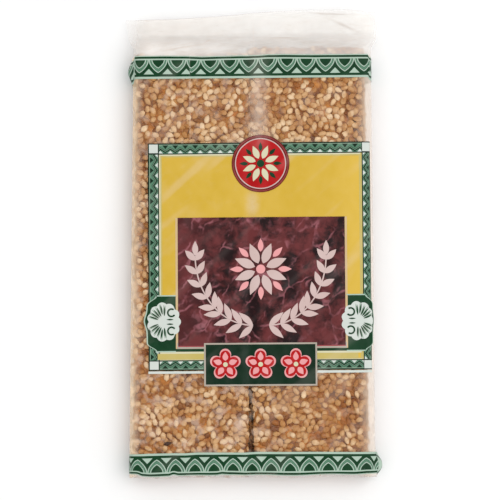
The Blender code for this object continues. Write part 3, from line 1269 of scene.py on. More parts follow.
@dataclass
class SeedCoat:
    """The seeds on every face of the bars, one piece for each tone."""

    shop: Workshop
    bars: Sequence[SesameBar]  # the bars that carry them
    label_low: float = -38 * MM  # lower edge of the part of the label that hides every seed under it
    label_high: float = 29 * MM  # its upper edge
    label_reach: float = 31 * MM  # how far it reaches to either side of the pack's middle
    bedded: SeedLayer = SeedLayer(2.15 * MM, -0.12 * MM, 0.35, -0.25)  # seeds sunk in the caramel on top
    upper: SeedLayer = SeedLayer(2.45 * MM, 0.24 * MM, 0.26, 0.9)  # seeds that lie free on top of them
    walls: SeedLayer = SeedLayer(2.2 * MM, -0.12 * MM, 0.25, 0.1)  # seeds on the sides and ends
    bottom: SeedLayer = SeedLayer(0.0, 0.0, 0.1, 0.1)  # how seeds lie on the underside
    crumbs: SeedLayer = SeedLayer(0.0, 0.0, 0.9, -0.9)  # how loose seeds lie in the gap
    bedded_share: float = 0.93  # share of the bedded places that get a seed
    upper_share: float = 0.9  # share of the free ones
    clump_less: float = 0.85  # how much smaller that share is within a clump
    loose: int = 420  # how many broke off into the gap between the bars
    length: float = 3.2 * MM  # a seed's length
    width: float = 1.95 * MM
    thickness: float = 0.95 * MM
    rim: float = 0.55 * MM  # distance that the top's seeds keep from a bar's edge
    nudges: int = 6  # how often crowded seeds are pushed apart
    clumps: Lumps = Lumps(6.5 * MM, 71)  # patches where free seeds are few and the caramel is dark
    roast: Lumps = Lumps(4.6 * MM, 72)  # patches where the seeds are more or less toasted
    sections: int = 5  # steps along a seed
    sides: int = 8  # points round it
    seed: int = 5  # seed of the random draws
    burnt: Point = (-28.6 * MM, -66.6 * MM, 9.4 * MM)  # middle of the one burnt seed
    burnt_yaw: float = radians(12)  # its direction
    # the seeds laid so far: middles, axes, shades and kinds
    batches: list[tuple[Array, Array, Array, Array]] = field(default_factory=list)
    draw: np.random.Generator = field(init=False)

    def __post_init__(self) -> None:
        """Starts the random draws."""
        self.draw = np.random.default_rng(self.seed)

    def grain(self) -> tuple[Shape, Array]:
        """One seed of length, width and thickness 1, and how near its tip each point is.

        Returns:
            The shape, and the nearness from 0 to 1.
        """
        rings, tips = [], []
        for i in range(1, self.sections):
            along = i / self.sections
            girth = sin(pi * along ** 0.78) ** 0.85
            for j in range(self.sides):
                angle = tau * j / self.sides
                rings.append((along - 0.5, 0.5 * girth * cos(angle), 0.5 * girth * sin(angle)))
                tips.append(along)
        points = [(-0.5, 0.0, 0.0)] + rings + [(0.5, 0.0, 0.0)]
        last, end = len(points) - 1, 1 + (self.sections - 2) * self.sides
        faces = grid_faces(self.sections - 1, self.sides, 1, closed=True)
        for j in range(self.sides):
            k = (j + 1) % self.sides
            faces += [(0, 1 + k, 1 + j), (end + j, end + k, last)]
        return Shape.of(np.array(points), faces), np.array([0.0] + tips + [1.0])

    def jogged(self, pitch: float, wide: float, long: float) -> Curve:
        """Places in a rectangle, in staggered rows with each place jogged.

        Args:
            pitch: Distance between neighbours.
            wide: The rectangle's width, from 0.
            long: Its length, from 0.

        Returns:
            The places across and along.
        """
        rows = max(1, round(long / (0.866 * pitch)))
        columns = max(1, round(wide / pitch))
        j, i = np.meshgrid(np.arange(rows), np.arange(columns), indexing="ij")
        across = (i + 0.5 + 0.25 * np.where(j % 2, 1.0, -1.0)) * wide / columns
        along = (j + 0.5) * long / rows
        jog = 0.45 * pitch
        across = (across + self.draw.uniform(-jog, jog, across.shape)).ravel()
        along = (along + self.draw.uniform(-jog, jog, along.shape)).ravel()
        for _ in range(self.nudges):
            across, along = self.parted(across, along, 0.92 * pitch)
        return np.clip(across, 0.0, wide), np.clip(along, 0.0, long)

    def parted(self, across: Array, along: Array, least: float) -> Curve:
        """Pushes seeds that crowd each other apart.

        Args:
            across: Places across.
            along: Places along.
            least: Distance under which two seeds crowd each other.

        Returns:
            The new places.
        """
        dx, dy = across[:, None] - across[None, :], along[:, None] - along[None, :]
        far = np.hypot(dx, dy)
        np.fill_diagonal(far, 1.0)
        push = 0.4 * np.clip(least - far, 0.0, None) / np.maximum(far, 0.01 * MM)
        return across + np.sum(push * dx, axis=1), along + np.sum(push * dy, axis=1)

    def lay(self, points: Array, out: Point, right: Point, layer: SeedLayer) -> None:
        """Adds a batch of seeds that lie on one face.

        Args:
            points: The seeds' middles.
            out: The face's outward direction.
            right: A direction in the face.
            layer: The layer that they belong to.
        """
        count = len(points)
        out, right = np.array(out), np.array(right)
        ahead = np.cross(out, right)
        yaw = self.draw.uniform(0.0, tau, count)
        lean = self.draw.uniform(-layer.tilt, layer.tilt, count)
        roll = self.draw.uniform(-layer.tilt, layer.tilt, count)
        heading = np.cos(yaw)[:, None] * right + np.sin(yaw)[:, None] * ahead
        long_axis = np.cos(lean)[:, None] * heading + np.sin(lean)[:, None] * out
        wide_axis = np.cross(np.broadcast_to(out, heading.shape), heading)
        up_axis = np.cross(long_axis, wide_axis)
        tipped = np.cos(roll)[:, None] * wide_axis + np.sin(roll)[:, None] * up_axis
        thick_axis = np.cross(long_axis, tipped)
        size = self.draw.normal(1.0, 0.08, (count, 3)).clip(0.8, 1.18)
        size *= np.array([self.length, self.width, self.thickness])
        axes = np.stack([long_axis, tipped, thick_axis], axis=1) * size[:, :, None]
        tone = self.draw.uniform(0.0, 1.0, count)
        local = 0.2 * self.roast.at(points[:, 0], points[:, 1])
        rank = np.clip(self.draw.normal(0.5 - 0.3 * layer.bright, 0.19, count) + local, 0.0, 0.999)
        self.batches.append((points, axes, tone, (rank * ROASTS).astype(int)))

    def across_bar(self, bar: SesameBar, pitch: float) -> Curve:
        """Places all over a bar's top or underside, clear of its edges.

        Args:
            bar: The bar.
            pitch: Distance between the places.

        Returns:
            The places across and along.
        """
        left, right = bar.edges(np.array([bar.near_end, bar.far_end]))
        wide = float(np.mean(right - left)) - 2.0 * self.rim
        long = bar.far_end - bar.near_end - 2.0 * self.rim
        across, along = self.jogged(pitch, wide, long)
        y = bar.near_end + self.rim + along
        left, right = bar.edges(y)
        return left + self.rim + (right - left - 2.0 * self.rim) * across / wide, y

    def cover_top(self, bar: SesameBar) -> None:
        """Lays the bedded and the free seeds on a bar's top.

        Args:
            bar: The bar.
        """
        for layer in (self.bedded, self.upper):
            x, y = self.across_bar(bar, layer.pitch)
            chance = self.draw.uniform(0.0, 1.0, len(x))
            dark = self.clumps.at(x, y)
            if layer is self.upper:
                hidden = (y > self.label_low) & (y < self.label_high) & (np.abs(x) < self.label_reach)
                shown = ~hidden & (chance < self.upper_share - self.clump_less * np.maximum(dark, 0.0))
            else:
                shown = chance < self.bedded_share
            x, y = x[shown], y[shown]
            left, right = bar.edges(y)
            from_edge = np.minimum(x - left, right - x)
            dip = 0.6 * MM * (1.0 - blend(self.rim, self.rim + 1.0 * MM, from_edge))
            rise = layer.rise - dip + 0.16 * MM * bar.lumps.at(x, y)
            z = bar.top + rise + self.draw.uniform(-0.14, 0.1, len(x)) * MM
            self.lay(np.stack([x, y, z], axis=-1), (0.0, 0.0, 1.0), (1.0, 0.0, 0.0), layer)

    def cover_walls(self, bar: SesameBar) -> None:
        """Lays one layer on a bar's sides, ends and underside.

        Args:
            bar: The bar.
        """
        layer, inset = self.walls, 0.8 * MM
        long = bar.far_end - bar.near_end - 2.0 * inset
        tall = bar.top - bar.base - 2.0 * inset
        for side in (-1.0, 1.0):
            rise, along = self.jogged(layer.pitch, tall, long)
            y = bar.near_end + inset + along
            edge = bar.edges(y)[0 if side < 0.0 else 1] + side * layer.rise
            points = np.stack([edge, y, bar.base + inset + rise], axis=-1)
            self.lay(points, (side, 0.0, 0.0), (0.0, 1.0, 0.0), layer)
        for side, end in ((-1.0, bar.near_end), (1.0, bar.far_end)):
            left, right = (float(edge[0]) for edge in bar.edges(np.array([end])))
            across, rise = self.jogged(layer.pitch, right - left - 2.0 * inset, tall)
            y = np.full(len(across), end + side * layer.rise)
            points = np.stack([left + inset + across, y, bar.base + inset + rise], axis=-1)
            self.lay(points, (0.0, side, 0.0), (1.0, 0.0, 0.0), layer)
        x, y = self.across_bar(bar, layer.pitch)
        points = np.stack([x, y, np.full(len(x), bar.base + 0.02 * MM)], axis=-1)
        self.lay(points, (0.0, 0.0, -1.0), (1.0, 0.0, 0.0), self.bottom)

    def fill_gap(self) -> None:
        """Drops the loose seeds that broke off into the gap between the bars."""
        left_bar, right_bar = self.bars
        y = self.draw.uniform(left_bar.near_end + 2.0 * MM, left_bar.far_end - 2.0 * MM, self.loose)
        low, high = left_bar.edges(y)[1], right_bar.edges(y)[0]
        x = low + (high - low) * self.draw.uniform(0.25, 0.75, self.loose)
        z = self.draw.uniform(2.0, 4.8, self.loose) * MM
        self.lay(np.stack([x, y, z], axis=-1), (1.0, 0.0, 0.0), (0.0, 1.0, 0.0), self.crumbs)

    def lay_burnt(self) -> None:
        """Lays the one burnt seed on the left bar."""
        ahead = np.array([cos(self.burnt_yaw), sin(self.burnt_yaw), 0.0])
        aside = np.array([-sin(self.burnt_yaw), cos(self.burnt_yaw), 0.0])
        axes = [self.length * ahead, 0.7 * self.width * aside, (0.0, 0.0, self.thickness)]
        kind = list(SeedKind).index(SeedKind.BURNT)
        batch = ([self.burnt], [axes], [0.4], [kind])
        self.batches.append(tuple(np.array(column) for column in batch))

    def build(self) -> None:
        """Lays the seeds and joins those of one tone into one piece."""
        for bar in self.bars:
            self.cover_top(bar)
            self.cover_walls(bar)
        self.fill_gap()
        self.lay_burnt()
        grain, tips = self.grain()
        places, axes, tones, kinds = (np.concatenate(column) for column in zip(*self.batches))
        for number, kind in enumerate(SeedKind):
            chosen = kinds == number
            blocks = np.einsum("pa,nab->npb", grain.points, axes[chosen]) + places[chosen][:, None, :]
            marks = {"tone": np.repeat(tones[chosen], len(tips)), "tip": np.tile(tips, len(blocks))}
            roasted = self.shop.finish(SeedFinish(kind))
            self.shop.piece(f"{kind.name.lower()}_seeds", grain.repeated(blocks), roasted, True, marks)


@dataclass
class PrintSheet:
    """A part of the print: flat shapes in u and y, laid on the film, one piece for each ink."""

    shop: Workshop
    form: PackForm
    name: str
    warp: Callable[[Array, Array], Curve]  # moves places where creases and folds pull the print askew
    base_lift: float = 0.04 * MM  # how far the lowest layer lies off the film
    layer_lift: float = 0.026 * MM  # distance between layers
    # what is drawn so far, by ink
    patches: dict[Ink, list[tuple[Array, int, int]]] = field(default_factory=dict)

    def patch(self, ink: Ink, level: int, u: Array, y: Array) -> None:
        """Adds a patch given by a grid of places.

        Args:
            ink: Its ink.
            level: Its layer, above every layer with a lower number.
            u: Places round the pack, in rows and columns.
            y: Places along the pack, in the same rows and columns.
        """
        du, dy = np.diff(u, axis=1)[:-1], np.diff(y, axis=1)[:-1]
        eu, ey = np.diff(u, axis=0)[:, :-1], np.diff(y, axis=0)[:, :-1]
        if float(np.sum(du * ey - dy * eu)) < 0.0:
            u, y = u[:, ::-1], y[:, ::-1]
        u, y = self.warp(u, y)
        lift = self.base_lift + self.layer_lift * level
        points = self.form.lifted(self.form.turn_of(u, y), y, lift)
        self.patches.setdefault(ink, []).append((points.reshape(-1, 3), *u.shape))

    def area(self, ink: Ink, level: int, u: Place, y: Place) -> None:
        """Adds a rectangle from its two ranges."""
        step = 0.6 * MM
        self.patch(ink, level, *np.meshgrid(spaced(*sorted(u), step), spaced(*sorted(y), step)))

    def between(self, ink: Ink, level: int, one: Curve, other: Curve, rows: int = 1) -> None:
        """Adds the strip between two curves with as many points each.

        Args:
            ink: The ink.
            level: The layer.
            one: The first curve.
            other: The second curve.
            rows: Rows of faces between them.
        """
        share = np.linspace(0.0, 1.0, rows + 1)[:, None]
        u = one[0] * (1.0 - share) + other[0] * share
        y = one[1] * (1.0 - share) + other[1] * share
        self.patch(ink, level, u, y)

    def shape(self, ink: Ink, level: int, centre: Place,
              reach: float | Callable[[Array], Array], count: int, rings: int) -> None:
        """Adds a round shape.

        Args:
            ink: Its ink.
            level: Its layer.
            centre: Its middle.
            reach: Its radius, or what gives its radius for each angle.
            count: Steps round it.
            rings: Steps from the middle to its rim.
        """
        angle = np.linspace(0.0, tau, count + 1)[:, None]
        share = np.linspace(0.0, 1.0, rings + 1)[None, :]
        radius = (reach(angle) if callable(reach) else reach) * share
        self.patch(ink, level, centre[0] + radius * np.cos(angle), centre[1] + radius * np.sin(angle))

    def leaf(self, ink: Ink, level: int, root: Place, angle: float, length: float,
             width: float, blunt: float = 1.0) -> None:
        """Adds a leaf or seed shape that grows from its root at an angle.

        Args:
            ink: Its ink.
            level: Its layer.
            root: Where it starts.
            angle: Its direction, in radians from +u.
            length: Its length.
            width: Its width.
            blunt: Below 1 puts its widest place nearer the root.
        """
        along = np.linspace(0.0, 1.0, 11)
        aside = 0.5 * width * np.sin(pi * along ** blunt) * np.linspace(-1.0, 1.0, 5)[:, None]
        forward = along * length
        u = root[0] + forward * cos(angle) - aside * sin(angle)
        y = root[1] + forward * sin(angle) + aside * cos(angle)
        self.patch(ink, level, u, y)

    def build(self) -> None:
        """Joins the patches of each ink into one piece."""
        for ink, patches in self.patches.items():
            points, faces, start = [], [], 0
            for block, rows, columns in patches:
                points.append(block)
                faces += grid_faces(rows, columns, start)
                start += rows * columns
            shape = Shape.of(np.concatenate(points), faces)
            printed = self.shop.finish(ink.value)
            self.weld(self.shop.piece(f"{self.name}_{ink.name.lower()}", shape, printed))

    @staticmethod
    def weld(item: bpy.types.Object) -> None:
        """Joins points that fell together and drops faces without area.

        Args:
            item: The printed piece.
        """
        mesh = bmesh.new()
        mesh.from_mesh(item.data)
        bmesh.ops.remove_doubles(mesh, verts=mesh.verts, dist=0.004 * MM)
        bmesh.ops.dissolve_degenerate(mesh, edges=mesh.edges, dist=0.002 * MM)
        mesh.to_mesh(item.data)
        mesh.free()


@dataclass(frozen=True)
class Pull:
    """How far the print is pulled at places across the pack."""

    places: tuple[float, ...]
    amounts: tuple[float, ...]  # how far it is pulled there

    @classmethod
    def through(cls, *pairs: tuple[float, float]) -> "Pull":
        """Makes a pull from pairs of a place and an amount in millimetres."""
        return cls(tuple(pair[0] * MM for pair in pairs), tuple(pair[1] * MM for pair in pairs))

    def at(self, u: Array) -> Array:
        """How far the print is pulled at u."""
        return np.interp(u, self.places, self.amounts)


UPPER_INNER = Pull.through((-38, 0.1), (37, 0.2))
UPPER_OUTER = Pull.through(
    (-38, 0.4), (-30, 0.45), (-22, 0.35), (-17, 0.1), (-12, 0.2), (-5, 0.33), (1.5, 0.4), (5, 0.63),
    (10, 0.65), (20, 0.5), (37, 0.5),
)
LOWER_INNER = Pull.through(
    (-38.8, 0.56), (-34.8, 0.4), (-26.9, 0.3), (-22.9, 0.33), (-19, 0.1), (-11, 0.16), (-3.1, 0.23),
    (0.8, 0), (8.8, 0.1), (20.6, 0.13), (28.6, 0.23), (36.5, 0.3),
)
LOWER_OUTER = Pull.through(
    (-38.8, -0.1), (-37.2, 0.6), (-34.8, 0.73), (-30.8, 0.56), (-28.2, 0.5), (-26.9, 0), (-25.4, 0.45),
    (-22.9, 0.5), (-15, 0.4), (-12.6, 0.3), (-11, -0.03), (-9.3, 0.1), (-7.1, 0.17), (-3.1, 0.43),
    (8.8, 0.5), (16.7, 0.5), (24.6, 0.38), (32.5, 0.31), (36.5, 0.03),
)


@dataclass(frozen=True)
class Ear:
    """A corner of the film that hangs down beside the pack and takes its print along."""

    side: int  # -1 for the left side, 1 for the right one
    reach: float  # distance round the film from the flat top's edge to the fold
    drop: float  # how far the print hangs lower beyond the fold
    lined: bool = False  # True where a pale line runs along the fold


@dataclass
class ArchBand:
    """A band of arches that runs all round the pack near one end.

    Its depths are distances from its inner edge.
    """

    shop: Workshop
    form: PackForm
    name: str
    edge: float  # its edge towards the bars' middle
    heading: int  # 1 if it runs on towards the fin, -1 towards the folded end
    pitch: float  # distance between arches
    anchor: float  # middle of one arch
    inner_shift: Pull  # how far the inner edge is pulled towards the pack's end
    outer_shift: Pull  # the same for the outer edge
    ears: tuple[Ear, ...] = ()  # the film's ears at its ends
    tab: float | None = None  # place round the film from which its pale underside is turned over, or None
    fold: float | None = None  # where a crease swallows a strip of the print, or None
    swallowed: float = 1.55 * MM  # width of that strip
    squeeze: float = 0.98  # how much narrower the print looks beyond the crease
    border: float = 0.68 * MM  # depth of the pale inner border
    arch_base: float = 6.0 * MM  # depth of the arches' feet
    pale_line: float = 6.45 * MM  # depth to which the pale line under them reaches
    dark_line: float = 7.12 * MM  # depth to which the dark line after it reaches
    rim: float = 7.42 * MM  # depth of the outermost pale line's outer edge
    triangle_base: float = 1.45 * MM  # depth of a pale triangle's base
    triangle_tip: float = 3.2 * MM  # depth of its tip
    triangle_half: float = 1.75 * MM
    sheet: PrintSheet = field(init=False)

    def __post_init__(self) -> None:
        """Takes an empty sheet."""
        self.sheet = PrintSheet(self.shop, self.form, self.name, self.warp)

    def flat_edge(self, side: int) -> float:
        """The flat top's left or right edge beside the band."""
        return float(self.form.flats(np.array(self.edge))[0 if side < 0 else 1])

    def creased(self, u: Array) -> Array:
        """Moves the print towards the crease that swallows a strip of it.

        Args:
            u: Places on the print.

        Returns:
            Places on the film.
        """
        if self.fold is None:
            return u
        moved = u + self.swallowed * np.clip((self.fold - u) / self.swallowed, 0.0, 1.0)
        return np.where(moved < self.fold, self.fold + self.squeeze * (moved - self.fold), moved)

    def before_crease(self, u: float) -> float:
        """The place on the print that the crease moves to u.

        Args:
            u: A place on the film.

        Returns:
            The place on the print.
        """
        if self.fold is None or u > self.fold:
            return u
        return self.fold + (u - self.fold) / self.squeeze - self.swallowed

    def warp(self, u: Array, y: Array) -> Curve:
        """Pulls the print askew at the crease, along both edges and on the ears.

        Args:
            u: Places across the print.
            y: Places along it.

        Returns:
            The pulled places.
        """
        depth = self.heading * (y - self.edge)
        share = depth / self.dark_line
        u = self.creased(u)
        outward = self.inner_shift.at(u) * (1.0 - share) + self.outer_shift.at(u) * share
        moved = y + self.heading * outward
        for ear in self.ears:
            beyond = ear.side * (u - self.flat_edge(ear.side))
            moved = moved - ear.drop * blend(ear.reach, ear.reach + 0.7 * MM, beyond)
        return u, moved

    def level(self, depth: Array | float) -> Array:
        """Turns a distance from the band's inner edge into a place along the pack."""
        return self.edge + self.heading * np.asarray(depth, dtype=float)

    def span(self, low: float, high: float) -> Place:
        """Turns two distances from the inner edge into places along the pack."""
        return float(self.level(low)), float(self.level(high))

    def arch(self, centre: float, tip: float, half: float) -> Curve:
        """A pointed arch from one foot over its tip to the other.

        Args:
            centre: Its middle.
            tip: How deep in the band its tip lies.
            half: Half its width at its feet.

        Returns:
            The curve.
        """
        share = np.linspace(-1.0, 1.0, 23)
        swell = np.sin(0.5 * pi * np.abs(share)) ** 0.8
        depth = tip + (self.arch_base - tip) * np.abs(share)
        return centre + half * np.sign(share) * swell, self.level(depth)

    def stripes(self, reach: Place) -> None:
        """Draws the ground and the straight lines.

        Args:
            reach: Where they start and end.
        """
        stripes = (
            (Ink.MINT, 0, 0.0, self.border),
            (Ink.DARK_GREEN, 0, self.border, self.dark_line),
            (Ink.MINT, 2, self.arch_base, self.pale_line),
            (Ink.MINT, 0, self.dark_line, self.rim),
        )
        for ink, layer, low, high in stripes:
            self.sheet.area(ink, layer, reach, self.span(low, high))

    def motif(self, centre: float) -> None:
        """Draws one arch and the triangle on its right.

        Args:
            centre: The arch's middle.
        """
        half = 0.5 * self.pitch
        ribbons = (
            (Ink.MINT, 1.85, 2.22, 0.02, 0.4),
            (Ink.LEAF_GREEN, 2.36, 3.1, 0.5, 0.86),
            (Ink.MINT, 3.24, 3.6, 0.92, 1.26),
        )
        for ink, outer, inner, outer_gap, inner_gap in ribbons:
            over = self.arch(centre, outer * MM, half - outer_gap * MM)
            self.sheet.between(ink, 1, over, self.arch(centre, inner * MM, half - inner_gap * MM))
        side, share = np.linspace(-1.0, 1.0, 7), np.linspace(0.0, 1.0, 5)[:, None]
        u = centre + half + self.triangle_half * side * (1.0 - share)
        depth = self.triangle_base + (self.triangle_tip - self.triangle_base) * share
        self.sheet.patch(Ink.MINT, 1, u, self.level(depth + 0.0 * side))

    def fold_line(self, ear: Ear) -> None:
        """Draws the pale line along an ear's fold."""
        fold = self.before_crease(self.flat_edge(ear.side) + ear.side * ear.reach)
        self.sheet.area(Ink.MINT, 3, (fold - 0.2 * MM, fold + 0.24 * MM), self.span(0.0, self.dark_line))

    def turned_tab(self, start: float) -> None:
        """Draws the pale turned-over patch with its dark wavy edge.

        Args:
            start: The patch's left edge.
        """
        self.sheet.area(Ink.MINT, 3, (start, start + 2.6 * MM), self.span(0.2 * MM, self.rim))
        share = np.linspace(0.0, 1.0, 17)
        y = self.level(1.2 * MM + (self.rim - 1.2 * MM) * share)
        u = start + 2.1 * MM * np.sin(pi * share) ** 1.5
        self.sheet.between(Ink.DARK_GREEN, 4, (u, y), (u + 0.5 * MM, y))

    def build(self) -> None:
        """Draws the band and makes its pieces."""
        beside = self.form.side_length - 0.5 * MM
        least, most = 2.0 * self.flat_edge(-1) - beside, 2.0 * self.flat_edge(1) + beside
        self.stripes((least, most))
        for ear in self.ears:
            if ear.lined:
                self.fold_line(ear)
        if self.tab is not None:
            self.turned_tab(self.tab)
        first = int(np.ceil((least + self.pitch - self.anchor) / self.pitch))
        last = int(np.floor((most - self.pitch - self.anchor) / self.pitch))
        for number in range(first, last + 1):
            self.motif(self.anchor + number * self.pitch)
        self.sheet.build()


@dataclass(frozen=True)
class Rail:
    """One side of the label's frame, with a zigzag of a pitch and a first peak of its own.

    Distances run along it from its start and inward from its outer edge.
    """

    start: Place  # its outer edge's first corner
    along: Place
    inward: Place  # the direction towards the label's middle
    length: float
    width: float
    pitch: float  # distance between the zigzag's peaks
    phase: float  # distance of the first one from the start

    def clipped(self, s: Array) -> Array:
        """Keeps distances along the rail between its ends."""
        return np.clip(s, 0.0, self.length)

    def curve(self, s: Array, e: Array) -> Curve:
        """Turns distances along the rail, s, and inward, e, into places on the film."""
        u, y = (self.start[i] + self.along[i] * s + self.inward[i] * e for i in (0, 1))
        return u, y


@dataclass
class Label:
    """The printed label: frame, yellow field, marbled panel, ornaments, medallion and green box."""

    shop: Workshop
    form: PackForm
    middle: float = 2.2 * MM  # its middle line
    half: float = 36.85 * MM  # half its width over the frame
    high: float = 32.53 * MM
    low: float = -42.75 * MM
    rail_width: float = 3.4 * MM
    left_more: float = 0.23 * MM  # how much wider the frame is on the left
    high_more: float = 0.33 * MM  # how much wider it is at the top
    right_less: float = 0.2 * MM  # how much narrower it is on the right
    lean: float = 0.1 * MM  # how much higher the upper right corner lies than the middle
    inner_gap: float = 0.02 * MM  # how much further in the frame's inner edge lies on the left
    # where the pale line under the label starts and ends, down from its lower edge
    ledge: Place = (0.22 * MM, 1.0 * MM)
    panel_half: float = 27.35 * MM  # half the marbled panel's width
    panel_right_more: float = 0.45 * MM  # how much further it reaches on the right
    panel_high: float = 7.7 * MM
    panel_low: float = -34.65 * MM
    panel_border: float = 0.75 * MM  # width of its tan border
    panel_foot: float = 0.95 * MM  # width of the border under it
    side_high: float = -18.3 * MM  # upper edge of the green fields beside it
    side_low: float = -36.3 * MM
    # where the pale lines over and under them start and end, from the middle
    side_ledge: Place = (28.1 * MM, 34.3 * MM)
    # middle of a palmette, from the label's middle and along the pack
    palmette_place: Place = (32.0 * MM, -26.7 * MM)
    # where the lines over the lower yellow strip start and end, from the middle
    strip_reach: Place = (18.0 * MM, 33.0 * MM)
    # the edges of those lines, from the top down
    strip_levels: Point = (-35.62 * MM, -36.55 * MM, -37.2 * MM)
    box_middle: float = 1.95 * MM  # middle of the green box
    box_half: float = 18.6 * MM
    box_high: float = -33.75 * MM
    box_low: float = -47.95 * MM
    box_border: float = 0.55 * MM
    blossom_pitch: float = 11.6 * MM  # distance between its blossoms
    blossom_radius: float = 5.2 * MM
    medal_centre: Place = (2.4 * MM, 25.5 * MM)
    medal_radius: float = 9.55 * MM
    spray_root: Place = (2.6 * MM, -28.0 * MM)  # where the sprays start, from the middle and along the pack
    spray_reach: Place = (19.0 * MM, 23.0 * MM)  # how far they bend out and up
    spray_leaves: int = 9  # pairs of leaves on a spray
    heart: float = -9.5 * MM  # height of the flower between the sprays
    sheet: PrintSheet = field(init=False)

    def warp(self, u: Array, y: Array) -> Curve:
        """Lets the label's upper part lean."""
        lean = self.lean * (u - self.middle) / self.half
        return u, y + lean * blend(-10 * MM, 30 * MM, y)

    def outline(self) -> tuple[float, float, float, float]:
        """The frame's outer left, right, lower and upper edge."""
        return self.middle - self.half - self.left_more, self.middle + self.half, self.low, self.high

    def window(self) -> tuple[float, float, float, float]:
        """The frame's inner left, right, lower and upper edge.

        Returns:
            The four edges.
        """
        left, right, low, high = self.outline()
        corner = self.rail_width
        across = (left + corner + self.left_more + self.inner_gap, right - corner + self.right_less)
        return *across, low + corner, high - corner - self.high_more

    def rails(self) -> list[Rail]:
        """The frame's four sides between its corner squares.

        Returns:
            The upper, lower, left and right side.
        """
        left, right, low, high = self.outline()
        inner_left, inner_right, inner_low, inner_high = self.window()
        wide, tall = inner_right - inner_left, inner_high - inner_low
        right_way, left_way, up, down = (1.0, 0.0), (-1.0, 0.0), (0.0, 1.0), (0.0, -1.0)
        return [
            Rail((inner_left, high), right_way, down, wide, high - inner_high, 3.304 * MM, 0.47 * MM),
            Rail((inner_left, low), right_way, up, wide, inner_low - low, 3.363 * MM, 0.1 * MM),
            Rail((left, inner_low), up, right_way, tall, inner_left - left, 3.433 * MM, -0.61 * MM),
            Rail((right, inner_low), up, left_way, tall, right - inner_right, 3.407 * MM, 0.17 * MM),
        ]

    def chevrons(self, rail: Rail) -> None:
        """Draws one rail's zigzag, its dark triangles and its pale ones.

        Args:
            rail: The rail.
        """
        more = rail.width - self.rail_width
        base, tip = 1.84 * MM + more, 2.94 * MM + more
        side, share = np.linspace(-1.0, 1.0, 5), np.linspace(0.0, 1.0, 3)[:, None]
        ribbons = ((Ink.BLACK_GREEN, 0.0, 0.44), (Ink.SAGE, 0.5, 0.62), (Ink.BLACK_GREEN, 0.72, 0.86))
        for number in range(-1, int(rail.length / rail.pitch) + 2):
            peak = rail.phase + number * rail.pitch
            s = rail.clipped(peak + 0.88 * MM * side * (1.0 - share))
            if np.ptp(s) > 0.1 * MM:
                depth = (3.02 - 0.92 * share + 0 * side) * MM + more
                self.sheet.patch(Ink.WHITE, 4, *rail.curve(s, depth))
            centre = peak + 0.5 * rail.pitch
            s = rail.clipped(centre + 0.98 * MM * side * (1.0 - share))
            if np.ptp(s) > 0.1 * MM:
                depth = 0.66 * MM + (1.12 * MM + 0.5 * more) * share + 0 * side
                self.sheet.patch(Ink.BLACK_GREEN, 3, *rail.curve(s, depth))
            arms = rail.clipped(centre + 0.5 * rail.pitch * side)
            if np.ptp(arms) > 0.1 * MM:
                depth = base + (tip - base) * (1.0 - np.abs(side))
                for ink, outer, inner in ribbons:
                    strip = rail.curve(arms, depth - outer * MM), rail.curve(arms, depth - inner * MM)
                    self.sheet.between(ink, 3, *strip)

    def frame_ground(self) -> None:
        """Draws the frame's grounds and lines, its white corner squares and the pale edge under it."""
        left, right, low, high = self.outline()
        ledge = (low - self.ledge[1], low - self.ledge[0])
        self.sheet.area(Ink.WHITE, 0, (left - 0.1 * MM, right + 0.1 * MM), ledge)
        self.sheet.area(Ink.BLACK_GREEN, 1, (left, right), (low, high))
        for rail in self.rails():
            inner = rail.width / MM - 0.37
            for ink, start, end in ((Ink.SAGE, 0.42, 0.7), (Ink.LEAF_GREEN, 0.7, inner)):
                u, y = rail.curve(np.array([0.0, rail.length]), np.array([start, end]) * MM)
                self.sheet.area(ink, 2, (u[0], u[1]), (y[0], y[1]))
            self.chevrons(rail)
        inset = 0.36 * MM
        inner_left, inner_right, inner_low, inner_high = self.window()
        for u in ((left + inset, inner_left - inset), (inner_right + 0.2 * MM, right - 0.2 * MM)):
            for y in ((low + inset, inner_low - inset), (inner_high + 0.5 * MM, high - inset)):
                self.sheet.area(Ink.WHITE, 5, u, y)

    def yellow_field(self) -> None:
        """Draws the cream and straw lines inside the frame and the yellow field."""
        left, right, low, high = self.window()
        cream, straw = 0.45 * MM, 0.95 * MM
        self.sheet.area(Ink.CREAM, 2, (left, right - cream), (low, high))
        self.sheet.area(Ink.STRAW, 2, (right - cream, right), (low, high))
        self.sheet.area(Ink.STRAW, 3, (left + cream, right - cream), (low + 0.2 * MM, high - cream))
        self.sheet.area(Ink.YELLOW, 4, (left + straw, right - straw), (low + 0.5 * MM, high - straw))

    def panel_sides(self) -> tuple[float, float]:
        """The marbled panel's left and right edge."""
        return self.middle - self.panel_half, self.middle + self.panel_half + self.panel_right_more

    def panel(self) -> None:
        """Draws the marbled panel and its pale border."""
        left, right = self.panel_sides()
        edge = self.panel_border
        lines = (self.panel_low - self.panel_foot, self.panel_high)
        self.sheet.area(Ink.TAN, 5, (left - edge, right + edge), lines)
        foot = (lines[0], self.panel_low + 1.0 * MM)
        self.sheet.area(Ink.STONE, 6, (left - 0.5 * edge, right + 0.5 * edge), foot)
        self.sheet.area(Ink.ROSE, 7, (left, right), (self.panel_low - 0.35 * MM, self.panel_low))
        self.sheet.area(Ink.MAROON, 7, (left, right), (self.panel_low, self.panel_high))

    def side_outline(self, y: Array) -> Array:
        """How far the side ornament's green field reaches out from the label's middle.

        Args:
            y: Places along the pack.

        Returns:
            Distances from the middle.
        """
        bulge = 0.95 * MM * hump(y, -26.4 * MM, 2.4 * MM)
        corners = blend(-21.4 * MM, self.side_high, y) ** 1.3 + blend(-33.6 * MM, self.side_low, y) ** 1.3
        return 37.3 * MM + bulge - 3.0 * MM * corners

